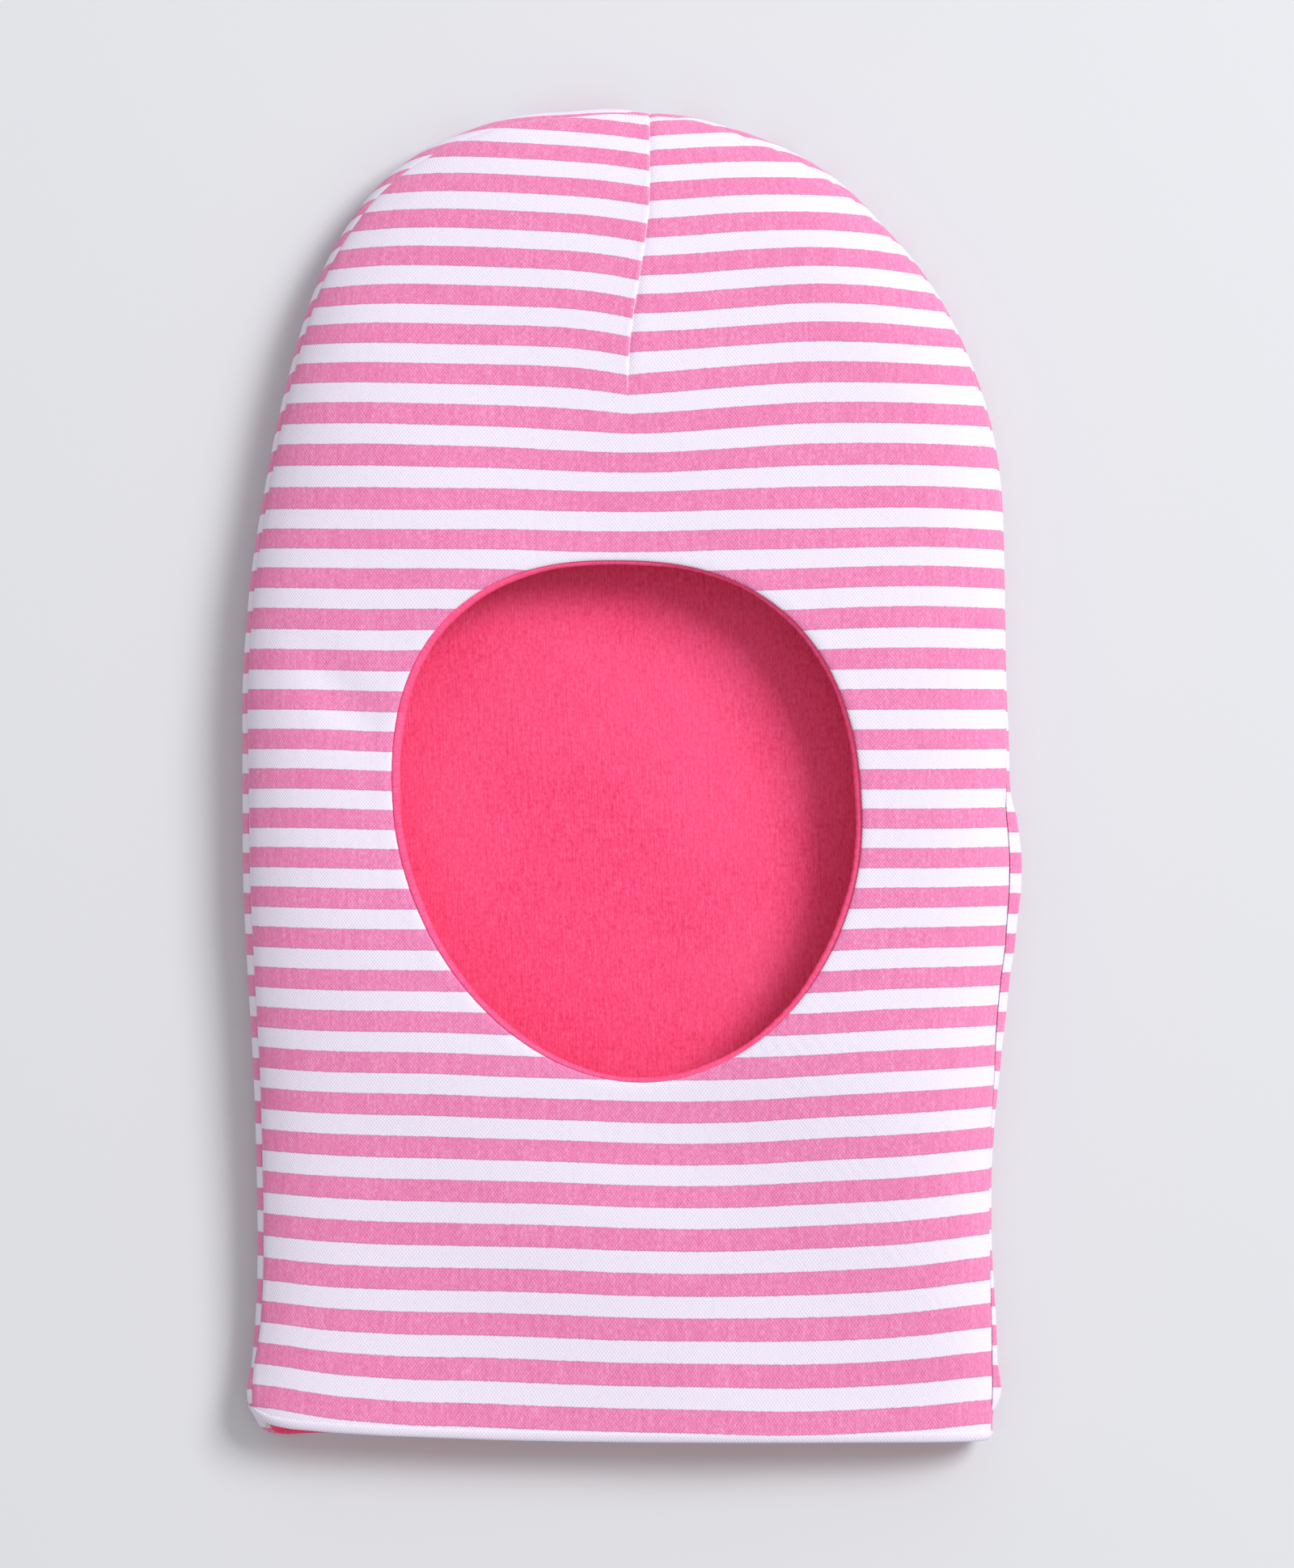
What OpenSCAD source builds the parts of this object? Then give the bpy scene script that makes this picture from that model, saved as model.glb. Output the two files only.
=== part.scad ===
// Toddler balaclava: a lined, striped knit hood with a face opening, lying on its back.
// X runs across the head, Y from the neck hem to the crown, Z up through the face opening.
// All sizes in millimetres.

/* [Overall size] */

// Length from the neck hem to the top of the crown
hood_length = 326; // [260:2:400]
// Width across the head, lying flat
head_width = 188; // [150:1:230]
// Width at the narrowest part of the neck
neck_width = 180; // [140:1:220]
// Width at the neck hem
hem_width = 183; // [140:1:225]
// Height of the head part, lying down
head_height = 22; // [16:0.5:40]
// Height of the neck hem, lying down
hem_height = 15; // [12:0.5:30]
// Height of the side seam above the floor
seam_height = 7.5; // [6:0.1:15]

/* [Crown] */

// Length of the rounded crown, from its widest line to the top
crown_length = 123; // [80:1:160]
// Squareness of the crown outline, 2 is an ellipse
crown_squareness = 2.25; // [1.8:0.05:3]
// Distance from the crown's top to the narrowest part of the neck
waist_drop = 268; // [200:1:330]

/* [Face opening] */

// Width of the face opening
face_width = 113.6; // [80:0.2:140]
// Height of the face opening's upper part, above its widest line
face_rise = 58.4; // [35:0.2:80]
// Height of the face opening's lower part, below its widest line
face_drop = 68.5; // [40:0.2:90]
// Distance from the crown's top to the opening's widest line
face_line = 168.5; // [120:0.5:220]
// Sideways lean of the opening's lower end
face_lean = 3.5; // [-8:0.5:8]
// Squareness of the upper part of the opening
face_top_squareness = 2.4; // [1.8:0.05:3]
// Squareness of the lower part of the opening
face_low_squareness = 1.95; // [1.8:0.05:3]
// Width of the rolled lining rim around the opening
rim_width = 2.0; // [1:0.1:4]

/* [Cloth] */

// Thickness of the striped outer knit
outer_thick = 1.1; // [0.6:0.05:2]
// Thickness of the lining knit
lining_thick = 0.8; // [0.5:0.05:1.5]
// Room between outer and lining, which holds the seam allowances
layer_gap = 1.5; // [1.2:0.05:3]
// How much narrower the lining bag is, on each side
lining_inset = 4.3; // [3.8:0.1:8]

/* [Seams] */

// Width of the side and crown seam allowance
side_allowance = 2.9; // [2:0.1:6]
// Width of the allowance around the face opening
face_allowance = 4.5; // [3:0.1:8]
// Width of the allowance inside the neck hem
hem_allowance = 7; // [4:0.1:15]
// How far the folded neck edge stands out past the panels
hem_fold = 1.6; // [1:0.1:4]
// Width of an overlock thread row
overlock_width = 0.5; // [0.3:0.05:1]
// Width of a single stitch row
thread_width = 0.4; // [0.3:0.05:1]

/* [Crown darts] */

// Length of the dart on the front, from the crown's top
front_dart_length = 68; // [40:1:100]
// Length of the dart on the back, from the crown's top
back_dart_length = 68; // [40:1:140]
// Width of the folded dart intake at the crown
dart_intake = 8; // [4:0.5:14]
// Sideways shift of the dart's top
dart_shift = 5; // [-10:0.5:10]

/* [Corner tack] */

// Length of the tacking stitch at the hem corner
tack_length = 4; // [2:0.5:8]
// Thickness of the tacking thread
tack_thick = 0.6; // [0.4:0.05:1]

/* [Hidden] */

half_len = hood_length / 2;
hem_y = -half_len + hem_fold;
crown_y = half_len - crown_length;
waist_y = half_len - waist_drop;
face_y = half_len - face_line;
inner_z = outer_thick + layer_gap;
cavity_z = inner_z + lining_thick;
lining_dx = outer_thick + lining_inset - 0.05;
slip = 0.05;
front_slip = 0.16;
back_flat = 0.88;
front_power = 8;
round_power = 2;
side_rows = 12;
crown_rows = 30;
hem_rows = 12;
row_count = 2 * side_rows + crown_rows + 1;

// Smooth step from 0 to 1
function ease(t) = let(c = min(1, max(0, t))) c * c * (3 - 2 * c);

// Half width of the hood at height y, d narrower on each side
function half_width(y, d) =
    y > waist_y
    ? neck_width / 2 - d + (head_width - neck_width) / 2 * ease((y - waist_y) / (crown_y - waist_y))
    : neck_width / 2 - d + (hem_width - neck_width) / 2 * ease((waist_y - y) / (waist_y + half_len));

// Where a point lies between the spine, 0, and the outline, 1
function spread(x, y, d) =
    y <= crown_y
    ? abs(x) / half_width(y, d)
    : pow(pow(abs(x) / (head_width / 2 - d), crown_squareness)
          + pow((y - crown_y) / (crown_length - d), crown_squareness), 1 / crown_squareness);

// Height of the front above the floor at the spine
function front_top(y) = hem_height + (head_height - hem_height) * ease((y + half_len) / (0.32 * hood_length));

// Height of a front surface, dz below the outside and d narrower
function front_z(x, y, dz, d) =
    let(u = min(1, spread(x, y, d)))
    seam_height + (front_top(y) - seam_height - dz) * pow(max(0, 1 - pow(u, front_power)), 1 / round_power);

// Height of a back surface, dz above the floor and d narrower
function back_z(x, y, dz, d) =
    let(u = min(1, spread(x, y, d)))
    let(v = max(0, u - back_flat) / (1 - back_flat))
    seam_height - (seam_height - dz) * pow(max(0, 1 - v * v), 1 / round_power);

// One point of the side and crown outline, from the left hem corner round to the right one
function side_point(k, d) =
    k <= side_rows
    ? let(y = hem_y + (crown_y - hem_y) * k / side_rows) [-half_width(y, d), y]
    : k >= side_rows + crown_rows
    ? let(y = hem_y + (crown_y - hem_y) * (row_count - 1 - k) / side_rows) [half_width(y, d), y]
    : let(a = 180 - 180 * (k - side_rows) / crown_rows)
      let(p = 2 / crown_squareness)
      [(head_width / 2 - d) * sign(cos(a)) * pow(abs(cos(a)), p),
       crown_y + (crown_length - d) * pow(sin(a), p)];

// The whole outline as a closed loop: sides, crown, then back along the hem
function loop_point(k, d) =
    k < row_count
    ? side_point(k, d)
    : let(w = half_width(hem_y, d)) [w - 2 * w * (k - row_count + 1) / hem_rows, hem_y];
loop_count = row_count + hem_rows - 1;

// Distance from the opening's centre to its edge in one direction, grown by g
function face_radius(a, g) =
    let(n = sin(a) > 0 ? face_top_squareness : face_low_squareness)
    let(b = sin(a) > 0 ? face_rise : face_drop)
    pow(pow(abs(cos(a)) / (face_width / 2 + g), n) + pow(abs(sin(a)) / (b + g), n), -1 / n);
function face_point(a, g) =
    let(r = face_radius(a, g))
    let(y = r * sin(a))
    [r * cos(a) - face_lean * y / face_drop, face_y + y];

// Direction of one outline point, seen from the middle of the face opening
function loop_angle(k) = let(p = loop_point(k, 0)) atan2(p[1] - face_y, p[0]);

// A point of the front panel between the opening, s = 0, and the outline, s = 1
function ring_point(k, s, d) =
    let(p = loop_point(k, d))
    let(q = face_point(loop_angle(k), 0))
    [q[0] + s * (p[0] - q[0]), q[1] + s * (p[1] - q[1])];

// Point list of one surface of the front, one row for each step in s
ring_steps = [0, 0.16, 0.34, 0.52, 0.68, 0.8, 0.89, 0.95, 0.985, 1];
function front_rows(dz, d) =
    [for (s = ring_steps)
        [for (k = [0:loop_count - 1])
            let(p = ring_point(k, s, d))
            [p[0], p[1], s == 1 && k < row_count ? seam_height : front_z(p[0], p[1], dz, d)]]];

// Point list of one surface of the back, from the flat part's edge out to the seam
back_steps = [0, 0.3, 0.55, 0.75, 0.88, 0.96, 1];
function back_rows(dz, d) =
    [for (s = back_steps)
        let(u = back_flat + (1 - back_flat) * s)
        [for (k = [0:row_count - 1])
            let(p = side_point(k, d))
            let(c = min(p[1], crown_y))
            [p[0] * u, c + (p[1] - c) * u, s == 0 ? dz : s == 1 ? seam_height
             : seam_height - (seam_height - dz) * pow(1 - s * s, 1 / round_power)]]];

// All rows of a grid as one list
function flat(g) = [for (r = g) for (p = r) p];
// Two triangles for one cell, a, b, c, d in turn
function cell(a, b, c, d) = [[a, b, c], [a, c, d]];

// A closed solid between two grids of the same shape, joined at every edge.
// wrap: the columns close into a loop. lid: the first row is a flat face, not a wall.
module slab(top, low, wrap = true, lid = false, turn = false) {
    rows = len(top);
    cols = len(top[0]);
    n = rows * cols;
    last = wrap ? cols - 1 : cols - 2;
    function at(r, c) = r * cols + c % cols;
    faces = concat(
        [for (r = [0:rows - 2]) for (c = [0:last])
            each cell(at(r, c), at(r + 1, c), at(r + 1, c + 1), at(r, c + 1))],
        [for (r = [0:rows - 2]) for (c = [0:last])
            each cell(n + at(r, c + 1), n + at(r + 1, c + 1), n + at(r + 1, c), n + at(r, c))],
        [for (c = [0:last])
            each cell(at(rows - 1, c), n + at(rows - 1, c), n + at(rows - 1, c + 1), at(rows - 1, c + 1))],
        lid ? [[for (c = [0:cols - 1]) at(0, c)], [for (c = [0:cols - 1]) n + at(0, cols - 1 - c)]]
        : [for (c = [0:last]) each cell(at(0, c + 1), n + at(0, c + 1), n + at(0, c), at(0, c))],
        wrap ? [] : [for (r = [0:rows - 2])
            each cell(at(r, 0), n + at(r, 0), n + at(r + 1, 0), at(r + 1, 0))],
        wrap ? [] : [for (r = [0:rows - 2])
            each cell(at(r + 1, cols - 1), n + at(r + 1, cols - 1), n + at(r, cols - 1), at(r, cols - 1))],
        lid ? cell(n + at(0, 0), at(0, 0), at(0, cols - 1), n + at(0, cols - 1)) : []);
    polyhedron(concat(flat(top), flat(low)), turn ? [for (f = faces) [for (i = [len(f) - 1:-1:0]) f[i]]] : faces);
}

// A bar whose cross section is a list of points at each station. loop: the ends join up.
module sweep(stations, loop = false, turn = false) {
    m = len(stations);
    c = len(stations[0]);
    last = loop ? m - 1 : m - 2;
    function at(i, j) = (i % m) * c + j % c;
    faces = concat(
        [for (i = [0:last]) for (j = [0:c - 1])
            each cell(at(i, j), at(i, j + 1), at(i + 1, j + 1), at(i + 1, j))],
        loop ? [] : [[for (j = [0:c - 1]) at(0, c - 1 - j)]],
        loop ? [] : [[for (j = [0:c - 1]) at(m - 1, j)]]);
    polyhedron(flat(stations), turn ? [for (f = faces) [for (i = [len(f) - 1:-1:0]) f[i]]] : faces);
}

// A bar along the side and crown seam. Each corner is [distance in from the outline, height above the seam].
module seam_bar(corners) {
    sweep([for (k = [0:row_count - 1])
        [for (q = corners) let(p = side_point(k, q[0])) [p[0], p[1], seam_height + q[1]]]]);
}

// A strip between outer and lining on the front, from x0 to x1 at each y
module front_strip(edges, low, high, turn = false) {
    top = [for (e = edges) [for (x = [e[1], (e[1] + e[2]) / 2, e[2]])
        [x, e[0], front_z(x, e[0], low, outer_thick)]]];
    bottom = [for (e = edges) [for (x = [e[1], (e[1] + e[2]) / 2, e[2]])
        [x, e[0], front_z(x, e[0], high, outer_thick)]]];
    slab(top, bottom, wrap = false, turn = turn);
}

module outer_front_panel() {
    color([0.93, 0.55, 0.73])
        slab(front_rows(0, 0), front_rows(outer_thick, outer_thick), turn = true);
}

module outer_back_panel() {
    color([0.90, 0.50, 0.70])
        slab(back_rows(0, 0), back_rows(outer_thick, outer_thick), wrap = false, lid = true);
}

module lining_front_panel() {
    color([0.90, 0.15, 0.40])
        slab(front_rows(inner_z, lining_dx), front_rows(cavity_z, lining_dx + lining_thick), turn = true);
}

module lining_back_panel() {
    color([0.85, 0.12, 0.36])
        slab(back_rows(inner_z, lining_dx), back_rows(cavity_z, lining_dx + lining_thick),
             wrap = false, lid = true);
}

// Rolled lining edge, flat against both panels and rounded towards the opening
rim_section = [[0, 0], [0.45, 0.02], [0.85, 0.2], [1, 0.5], [0.85, 0.8], [0.45, 0.98], [0, 1]];
module face_opening_rim() {
    color([0.95, 0.22, 0.45])
        sweep([for (i = [0:loop_count - 1])
            let(a = loop_angle(loop_count - 1 - i))
            let(e = face_point(a, 0))
            let(top = front_z(e[0], e[1], 0, 0))
            let(low = front_z(e[0], e[1], cavity_z, lining_dx + lining_thick))
            [for (q = rim_section)
                let(p = face_point(a, -slip - rim_width * q[0]))
                [p[0], p[1], top + (low - top) * q[1]]]], loop = true);
}

// Turned allowance lying between outer and lining, all round the opening
module face_band(g0, g1, z0, z1) {
    sweep([for (i = [0:loop_count - 1])
        let(a = loop_angle(loop_count - 1 - i))
        let(p = face_point(a, g0))
        let(q = face_point(a, g1))
        [[p[0], p[1], front_z(p[0], p[1], z0, outer_thick)],
         [p[0], p[1], front_z(p[0], p[1], z1, outer_thick)],
         [q[0], q[1], front_z(q[0], q[1], z1, outer_thick)],
         [q[0], q[1], front_z(q[0], q[1], z0, outer_thick)]]], loop = true, turn = true);
}

module face_opening_allowance() {
    color([0.80, 0.45, 0.62])
        face_band(slip, face_allowance, outer_thick + front_slip, inner_z - 0.25);
}

module face_opening_overlock() {
    color([0.97, 0.80, 0.88])
        face_band(face_allowance + slip, face_allowance + slip + overlock_width,
                  outer_thick + front_slip, inner_z - 0.25);
}

// Folded neck edge that joins outer and lining all round the neck
hem_section = [[0, 0], [0.06, 0.45], [0.2, 0.85], [0.5, 1], [0.8, 0.85], [0.94, 0.45], [1, 0]];
hem_stations = 24;
function hem_pair(i) =
    let(front = i < hem_stations)
    let(t = front ? 2 * i / hem_stations - 1 : 3 - 2 * i / hem_stations)
    let(c = sign(t) * pow(abs(t), 0.7))
    let(w = half_width(hem_y, 0))
    let(v = half_width(hem_y, lining_dx + lining_thick))
    front
    ? [[w * c, front_z(w * c, hem_y, 0, 0)],
       [v * c, front_z(v * c, hem_y, cavity_z, lining_dx + lining_thick)]]
    : [[w * c, back_z(w * c, hem_y, 0, 0)],
       [v * c, back_z(v * c, hem_y, cavity_z, lining_dx + lining_thick)]];
module neck_hem_fold() {
    color([0.95, 0.90, 0.95])
        sweep([for (i = [0:2 * hem_stations - 1])
            let(e = hem_pair(i))
            [for (q = hem_section)
                [e[0][0] + q[0] * (e[1][0] - e[0][0]), hem_y - hem_fold * q[1],
                 e[0][1] + q[0] * (e[1][1] - e[0][1])]]], loop = true);
}

// Turned-up allowances inside the hem, front and back, and the thread along their raw edges
hem_reach = hem_width / 2 - 2 * lining_inset - 14;
module hem_band_front(y0, y1) {
    xs = [for (i = [-8:8]) hem_reach * i / 8];
    slab([for (y = [y0, y1]) [for (x = xs) [x, y, front_z(x, y, outer_thick + front_slip, outer_thick)]]],
         [for (y = [y0, y1]) [for (x = xs) [x, y, front_z(x, y, inner_z - 0.25, outer_thick)]]],
         wrap = false, turn = true);
}
module hem_band_back(y0, y1) {
    wide = 2 * back_flat * half_width(y1, lining_dx) - 4;
    translate([-wide / 2, y0, outer_thick + slip])
        cube([wide, y1 - y0, layer_gap - 0.2]);
}

module neck_hem_allowance_front() {
    color([0.80, 0.45, 0.62])
        hem_band_front(hem_y + slip, hem_y + hem_allowance);
}

module neck_hem_allowance_back() {
    color([0.80, 0.45, 0.62])
        hem_band_back(hem_y + slip, hem_y + hem_allowance);
}

module neck_hem_overlock_front() {
    color([0.97, 0.80, 0.88])
        hem_band_front(hem_y + hem_allowance + slip, hem_y + hem_allowance + slip + overlock_width);
}

module neck_hem_overlock_back() {
    color([0.97, 0.80, 0.88])
        hem_band_back(hem_y + hem_allowance + slip, hem_y + hem_allowance + slip + overlock_width);
}

// Side and crown seam allowances, between the outer bag and the lining bag
seam_in = outer_thick + slip;
seam_deep = 1.3;
module outer_side_allowance() {
    color([0.78, 0.42, 0.60])
        seam_bar([[seam_in, 0.02], [seam_in + 1.5, seam_deep], [seam_in + side_allowance, seam_deep],
                  [seam_in + side_allowance, 0.02]]);
}

module outer_side_overlock() {
    color([0.97, 0.80, 0.88])
        seam_bar([[seam_in + side_allowance + slip, 0.02], [seam_in + side_allowance + slip, seam_deep],
                  [seam_in + side_allowance + slip + overlock_width, seam_deep],
                  [seam_in + side_allowance + slip + overlock_width, 0.02]]);
}

module lining_side_allowance() {
    color([0.70, 0.12, 0.32])
        seam_bar([[lining_dx - side_allowance, -0.02], [lining_dx - slip, -0.02],
                  [lining_dx - slip - 0.3, -seam_deep], [lining_dx - side_allowance, -seam_deep]]);
}

module lining_side_overlock() {
    color([0.98, 0.55, 0.70])
        seam_bar([[lining_dx - side_allowance - slip - overlock_width, -0.02],
                  [lining_dx - side_allowance - slip, -0.02],
                  [lining_dx - side_allowance - slip, -seam_deep],
                  [lining_dx - side_allowance - slip - overlock_width, -seam_deep]]);
}

// Crown darts: a dart line leans from its point to its top, and each intake lies beside it
dart_top = half_len - 2 * lining_dx - 3;
function dart_x(y, long) = dart_shift * (y - half_len + long) / long;
function dart_rows(long, side, w0, w1) =
    [for (i = [0:8])
        let(y = half_len - long + (dart_top - half_len + long) * i / 8)
        let(x = dart_x(y, long))
        side > 0
        ? [y, x + w0, x + w0 + 0.3 + w1 * i / 8]
        : [y, x - w0 - 0.3 - w1 * i / 8, x - w0]];
module back_strip(edges, low, high) {
    top = [for (e = edges) [for (x = [e[1], e[2]]) [x, e[0], back_z(x, e[0], high, outer_thick)]]];
    bottom = [for (e = edges) [for (x = [e[1], e[2]]) [x, e[0], back_z(x, e[0], low, outer_thick)]]];
    slab(top, bottom, wrap = false, turn = true);
}
fold_low = inner_z - 0.25;

module outer_front_dart_fold() {
    color([0.85, 0.50, 0.67])
        front_strip(dart_rows(front_dart_length, -1, 0.3, dart_intake), outer_thick + front_slip, fold_low, true);
}

module outer_back_dart_fold() {
    color([0.85, 0.50, 0.67])
        back_strip(dart_rows(back_dart_length, -1, 0.3, dart_intake), outer_thick + slip, fold_low);
}

module lining_front_dart_fold() {
    color([0.75, 0.12, 0.34])
        front_strip(dart_rows(front_dart_length, 1, 0.3, dart_intake), outer_thick + front_slip, fold_low, true);
}

module lining_back_dart_fold() {
    color([0.75, 0.12, 0.34])
        back_strip(dart_rows(back_dart_length, 1, 0.3, dart_intake), outer_thick + slip, fold_low);
}

// Dart stitch rows: the outer's beside the outer, the lining's beside the lining
function stitch_rows(long) =
    [for (e = dart_rows(long, 1, -thread_width / 2, 0)) [e[0], e[1], e[1] + thread_width]];

module outer_front_dart_stitching() {
    color([0.98, 0.75, 0.86])
        front_strip(stitch_rows(front_dart_length), outer_thick + front_slip, outer_thick + 0.6, true);
}

module lining_front_dart_stitching() {
    color([0.98, 0.35, 0.55])
        front_strip(stitch_rows(front_dart_length), outer_thick + 0.7, fold_low, true);
}

module outer_back_dart_stitching() {
    color([0.98, 0.75, 0.86])
        back_strip(stitch_rows(back_dart_length), outer_thick + slip, outer_thick + 0.5);
}

module lining_back_dart_stitching() {
    color([0.98, 0.35, 0.55])
        back_strip(stitch_rows(back_dart_length), outer_thick + 0.6, fold_low);
}

// One hand stitch over the folded edge at the left hem corner
module hem_corner_tack() {
    color([0.95, 0.85, 0.72])
        translate([-half_width(hem_y, 0) - tack_thick / 2, hem_y - hem_fold / 3, seam_height])
            cylinder(d = tack_thick, h = tack_length, center = true, $fn = 12);
}

outer_front_panel();
outer_back_panel();
lining_front_panel();
lining_back_panel();
face_opening_rim();
face_opening_allowance();
face_opening_overlock();
neck_hem_fold();
neck_hem_allowance_front();
neck_hem_allowance_back();
neck_hem_overlock_front();
neck_hem_overlock_back();
outer_side_allowance();
outer_side_overlock();
lining_side_allowance();
lining_side_overlock();
outer_front_dart_fold();
outer_back_dart_fold();
lining_front_dart_fold();
lining_back_dart_fold();
outer_front_dart_stitching();
outer_back_dart_stitching();
lining_front_dart_stitching();
lining_back_dart_stitching();
hem_corner_tack();
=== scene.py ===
import math
import bpy
import bmesh
import numpy as np
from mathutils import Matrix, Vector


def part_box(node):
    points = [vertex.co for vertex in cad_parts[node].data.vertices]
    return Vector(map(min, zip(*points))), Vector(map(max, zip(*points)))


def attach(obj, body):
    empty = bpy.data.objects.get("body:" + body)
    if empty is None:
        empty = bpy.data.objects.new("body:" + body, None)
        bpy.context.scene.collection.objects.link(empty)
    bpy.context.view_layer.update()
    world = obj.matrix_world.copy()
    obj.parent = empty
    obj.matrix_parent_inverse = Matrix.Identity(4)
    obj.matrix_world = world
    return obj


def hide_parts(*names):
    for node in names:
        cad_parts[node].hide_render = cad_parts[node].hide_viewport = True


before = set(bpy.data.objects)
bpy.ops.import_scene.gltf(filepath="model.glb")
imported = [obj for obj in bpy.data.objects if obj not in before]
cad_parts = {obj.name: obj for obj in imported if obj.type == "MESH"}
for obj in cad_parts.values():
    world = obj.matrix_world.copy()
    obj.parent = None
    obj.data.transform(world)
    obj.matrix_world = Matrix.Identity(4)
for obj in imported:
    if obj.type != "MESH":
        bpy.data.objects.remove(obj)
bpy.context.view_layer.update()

# ---------------------------------------------------------------- outer front panel
# The striped front of the hood: one cut piece of cotton knit with the face hole in it. It is joined to
# the back panel along the sides and crown, and a dart sewn from the crown down towards the face shapes
# it over the head. The stripes are knitted in, so they follow the cloth wherever it bends.
fold_low, fold_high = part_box("neck_hem_fold")
front_low, front_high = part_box("outer_front_panel")
back_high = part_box("outer_back_panel")[1]
half_len, hem_half, hem_top = fold_low[1] * -1000, fold_high[0] * 1000, fold_high[2] * 1000
hem_y, head_top = front_low[1] * 1000, front_high[2] * 1000
head_half, seam_z = back_high[0] * 1000, back_high[2] * 1000
neck_half, outer_cloth = 90.0, 1.1
crown_y, waist_y = half_len - 123, half_len - 268  # where the crown's curve starts, and the narrowest place
crown_power = 2.25  # a little squarer than an ellipse
flat_share = 0.88  # how much of the width lies flat on the surface


def ease(t):
    t = np.clip(t, 0.0, 1.0)
    return t * t * (3 - 2 * t)


def half_width(y, d=0.0):
    """Half the width of the hood below the crown, d in from its outline."""
    above = neck_half + (head_half - neck_half) * ease((y - waist_y) / (crown_y - waist_y))
    below = neck_half + (hem_half - neck_half) * ease((waist_y - y) / (waist_y + half_len))
    return np.where(y > waist_y, above, below) - d


def spread(x, y, d=0.0):
    """0 on the spine of the hood, 1 on its outline."""
    body = np.abs(x) / half_width(y, d)
    up = np.maximum(y - crown_y, 0) / (half_len - crown_y - d)
    crown = (np.abs(x / (head_half - d)) ** crown_power + up ** crown_power) ** (1 / crown_power)
    return np.where(y > crown_y, crown, body)


def front_top(y):
    """Height of the front along the spine."""
    return hem_top + (head_top - hem_top) * ease((y + half_len) / (0.64 * half_len))


def front_z(x, y, dz=0.0, d=0.0):
    """Height of a front layer that lies dz under the outer cloth's face, d in from its outline."""
    u = np.minimum(spread(x, y, d), 1.0)
    return seam_z + (front_top(y) - seam_z - dz) * np.sqrt(np.maximum(0, 1 - u ** 8))


def back_z(x, y, dz=0.0, d=0.0):
    """Height of a back layer that lies dz over the surface, d in from the outline."""
    v = np.maximum(np.minimum(spread(x, y, d), 1.0) - flat_share, 0) / (1 - flat_share)
    return seam_z - (seam_z - dz) * np.sqrt(np.maximum(0, 1 - v * v))


def dart_line(y):
    """How far the dart leans sideways as it climbs to the crown."""
    return 5.3 * ease((y - 97) / 48)


def dart_fade(y):
    """0 below the foot of the dart, 1 where it is fully sewn."""
    return ease((y - 94) / 8)


def points(x, y, z):
    """One array of points from three of coordinates."""
    return np.stack(np.broadcast_arrays(x, y, z), -1)


def smoothed(values, reach, ends="edge"):
    """Each value replaced by the mean of its neighbours, reach to either side."""
    span = 2 * reach + 1
    return np.convolve(np.pad(values, reach, mode=ends), np.ones(span) / span, mode="valid")


def smooth_line(pairs, soft):
    """A smooth curve through (place, value) pairs; soft is the length it is rounded over."""
    at, value = np.array(sorted(pairs), dtype=float).T
    fine = np.arange(at[0] - 2 * soft, at[-1] + 2 * soft, soft / 20)
    rounded = smoothed(np.interp(fine, at, value), 10)
    return lambda p: np.interp(p, fine, rounded)


# How far the outline of the hood, as it lies, stands out from the even cut shape, in millimetres:
# up its left side and its right side by height, and round its crown by degrees from the right. The
# last two say how far the front and back of the neck edge have ridden up, by place across it.
left_out = smooth_line([
    (-163, 1.4), (-160, 1.9), (-157, 2.0), (-154, 1.6), (-150, 1.0), (-143, 0.8), (-135, 0.65),
    (-124, 0.55), (-111, 0.8), (-93, 1.1), (-80, 1.2), (-64, 1.5), (-50, 1.9), (-40, 2.0), (-30, 2.15),
    (-19, 1.95), (-10, 1.6), (0, 1.3), (11, 0.95), (20, 0.8), (30, 0.2), (40, -0.6), (50, -1.4)], 4)
right_out = smooth_line([
    (-163, -2.4), (-151, -1.8), (-138, -1.45), (-128, -1.25), (-117, -1.1), (-96, -1.1), (-87, -0.85),
    (-73, -0.4), (-66, -0.4), (-57, -0.1), (-47.4, 0.5), (-42, 1.2), (-39, 1.2), (-33, 1.35), (-27.4, 1.6),
    (-19.4, 1.35), (-12.5, 0.6), (-7.7, -0.1), (3, -0.1), (11, -0.3), (18, -0.9), (29, -1.4), (40, -1.6),
    (50, -1.6)], 5)
crown_out = smooth_line([
    (-10, -1.6), (0, -1.6), (6.3, -1.65), (11.9, -1.35), (17.7, -0.75), (22.8, -0.35), (28, -0.2),
    (34.4, -0.4), (39, -0.6), (45, -0.9), (52, -1.6), (57, -2.1), (64, -1.2), (69.5, -1.2), (76, -1.5),
    (81, -1.3), (85, -0.6), (91, 0.1), (92.5, 1.0), (96, 1.5), (98, 1.4), (101, 2.4), (105, 3.3), (108.5, 3.5),
    (115.5, 4.5), (118, 4.5), (122, 4.0), (126.4, 2.8), (129.6, 2.0), (135.6, 0), (141.4, -1.8), (145, -2.5),
    (151, -3.1), (157, -3.25),
    (162, -3.0), (169, -2.2), (175.5, -1.2), (180, -0.6), (190, -0.6)], 3)
hem_rise_front = smooth_line([
    (-96, 9.4), (-93, 8.7), (-91.6, 8.0), (-90, 6.6), (-88.5, 5.6), (-85.7, 4.5), (-81.3, 3.7), (-70, 2.8),
    (-58.8, 2.1), (-33, 1.1), (-15, 0.7), (0, 0.5), (40, 0.4), (96, 0.4)], 2)
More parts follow.
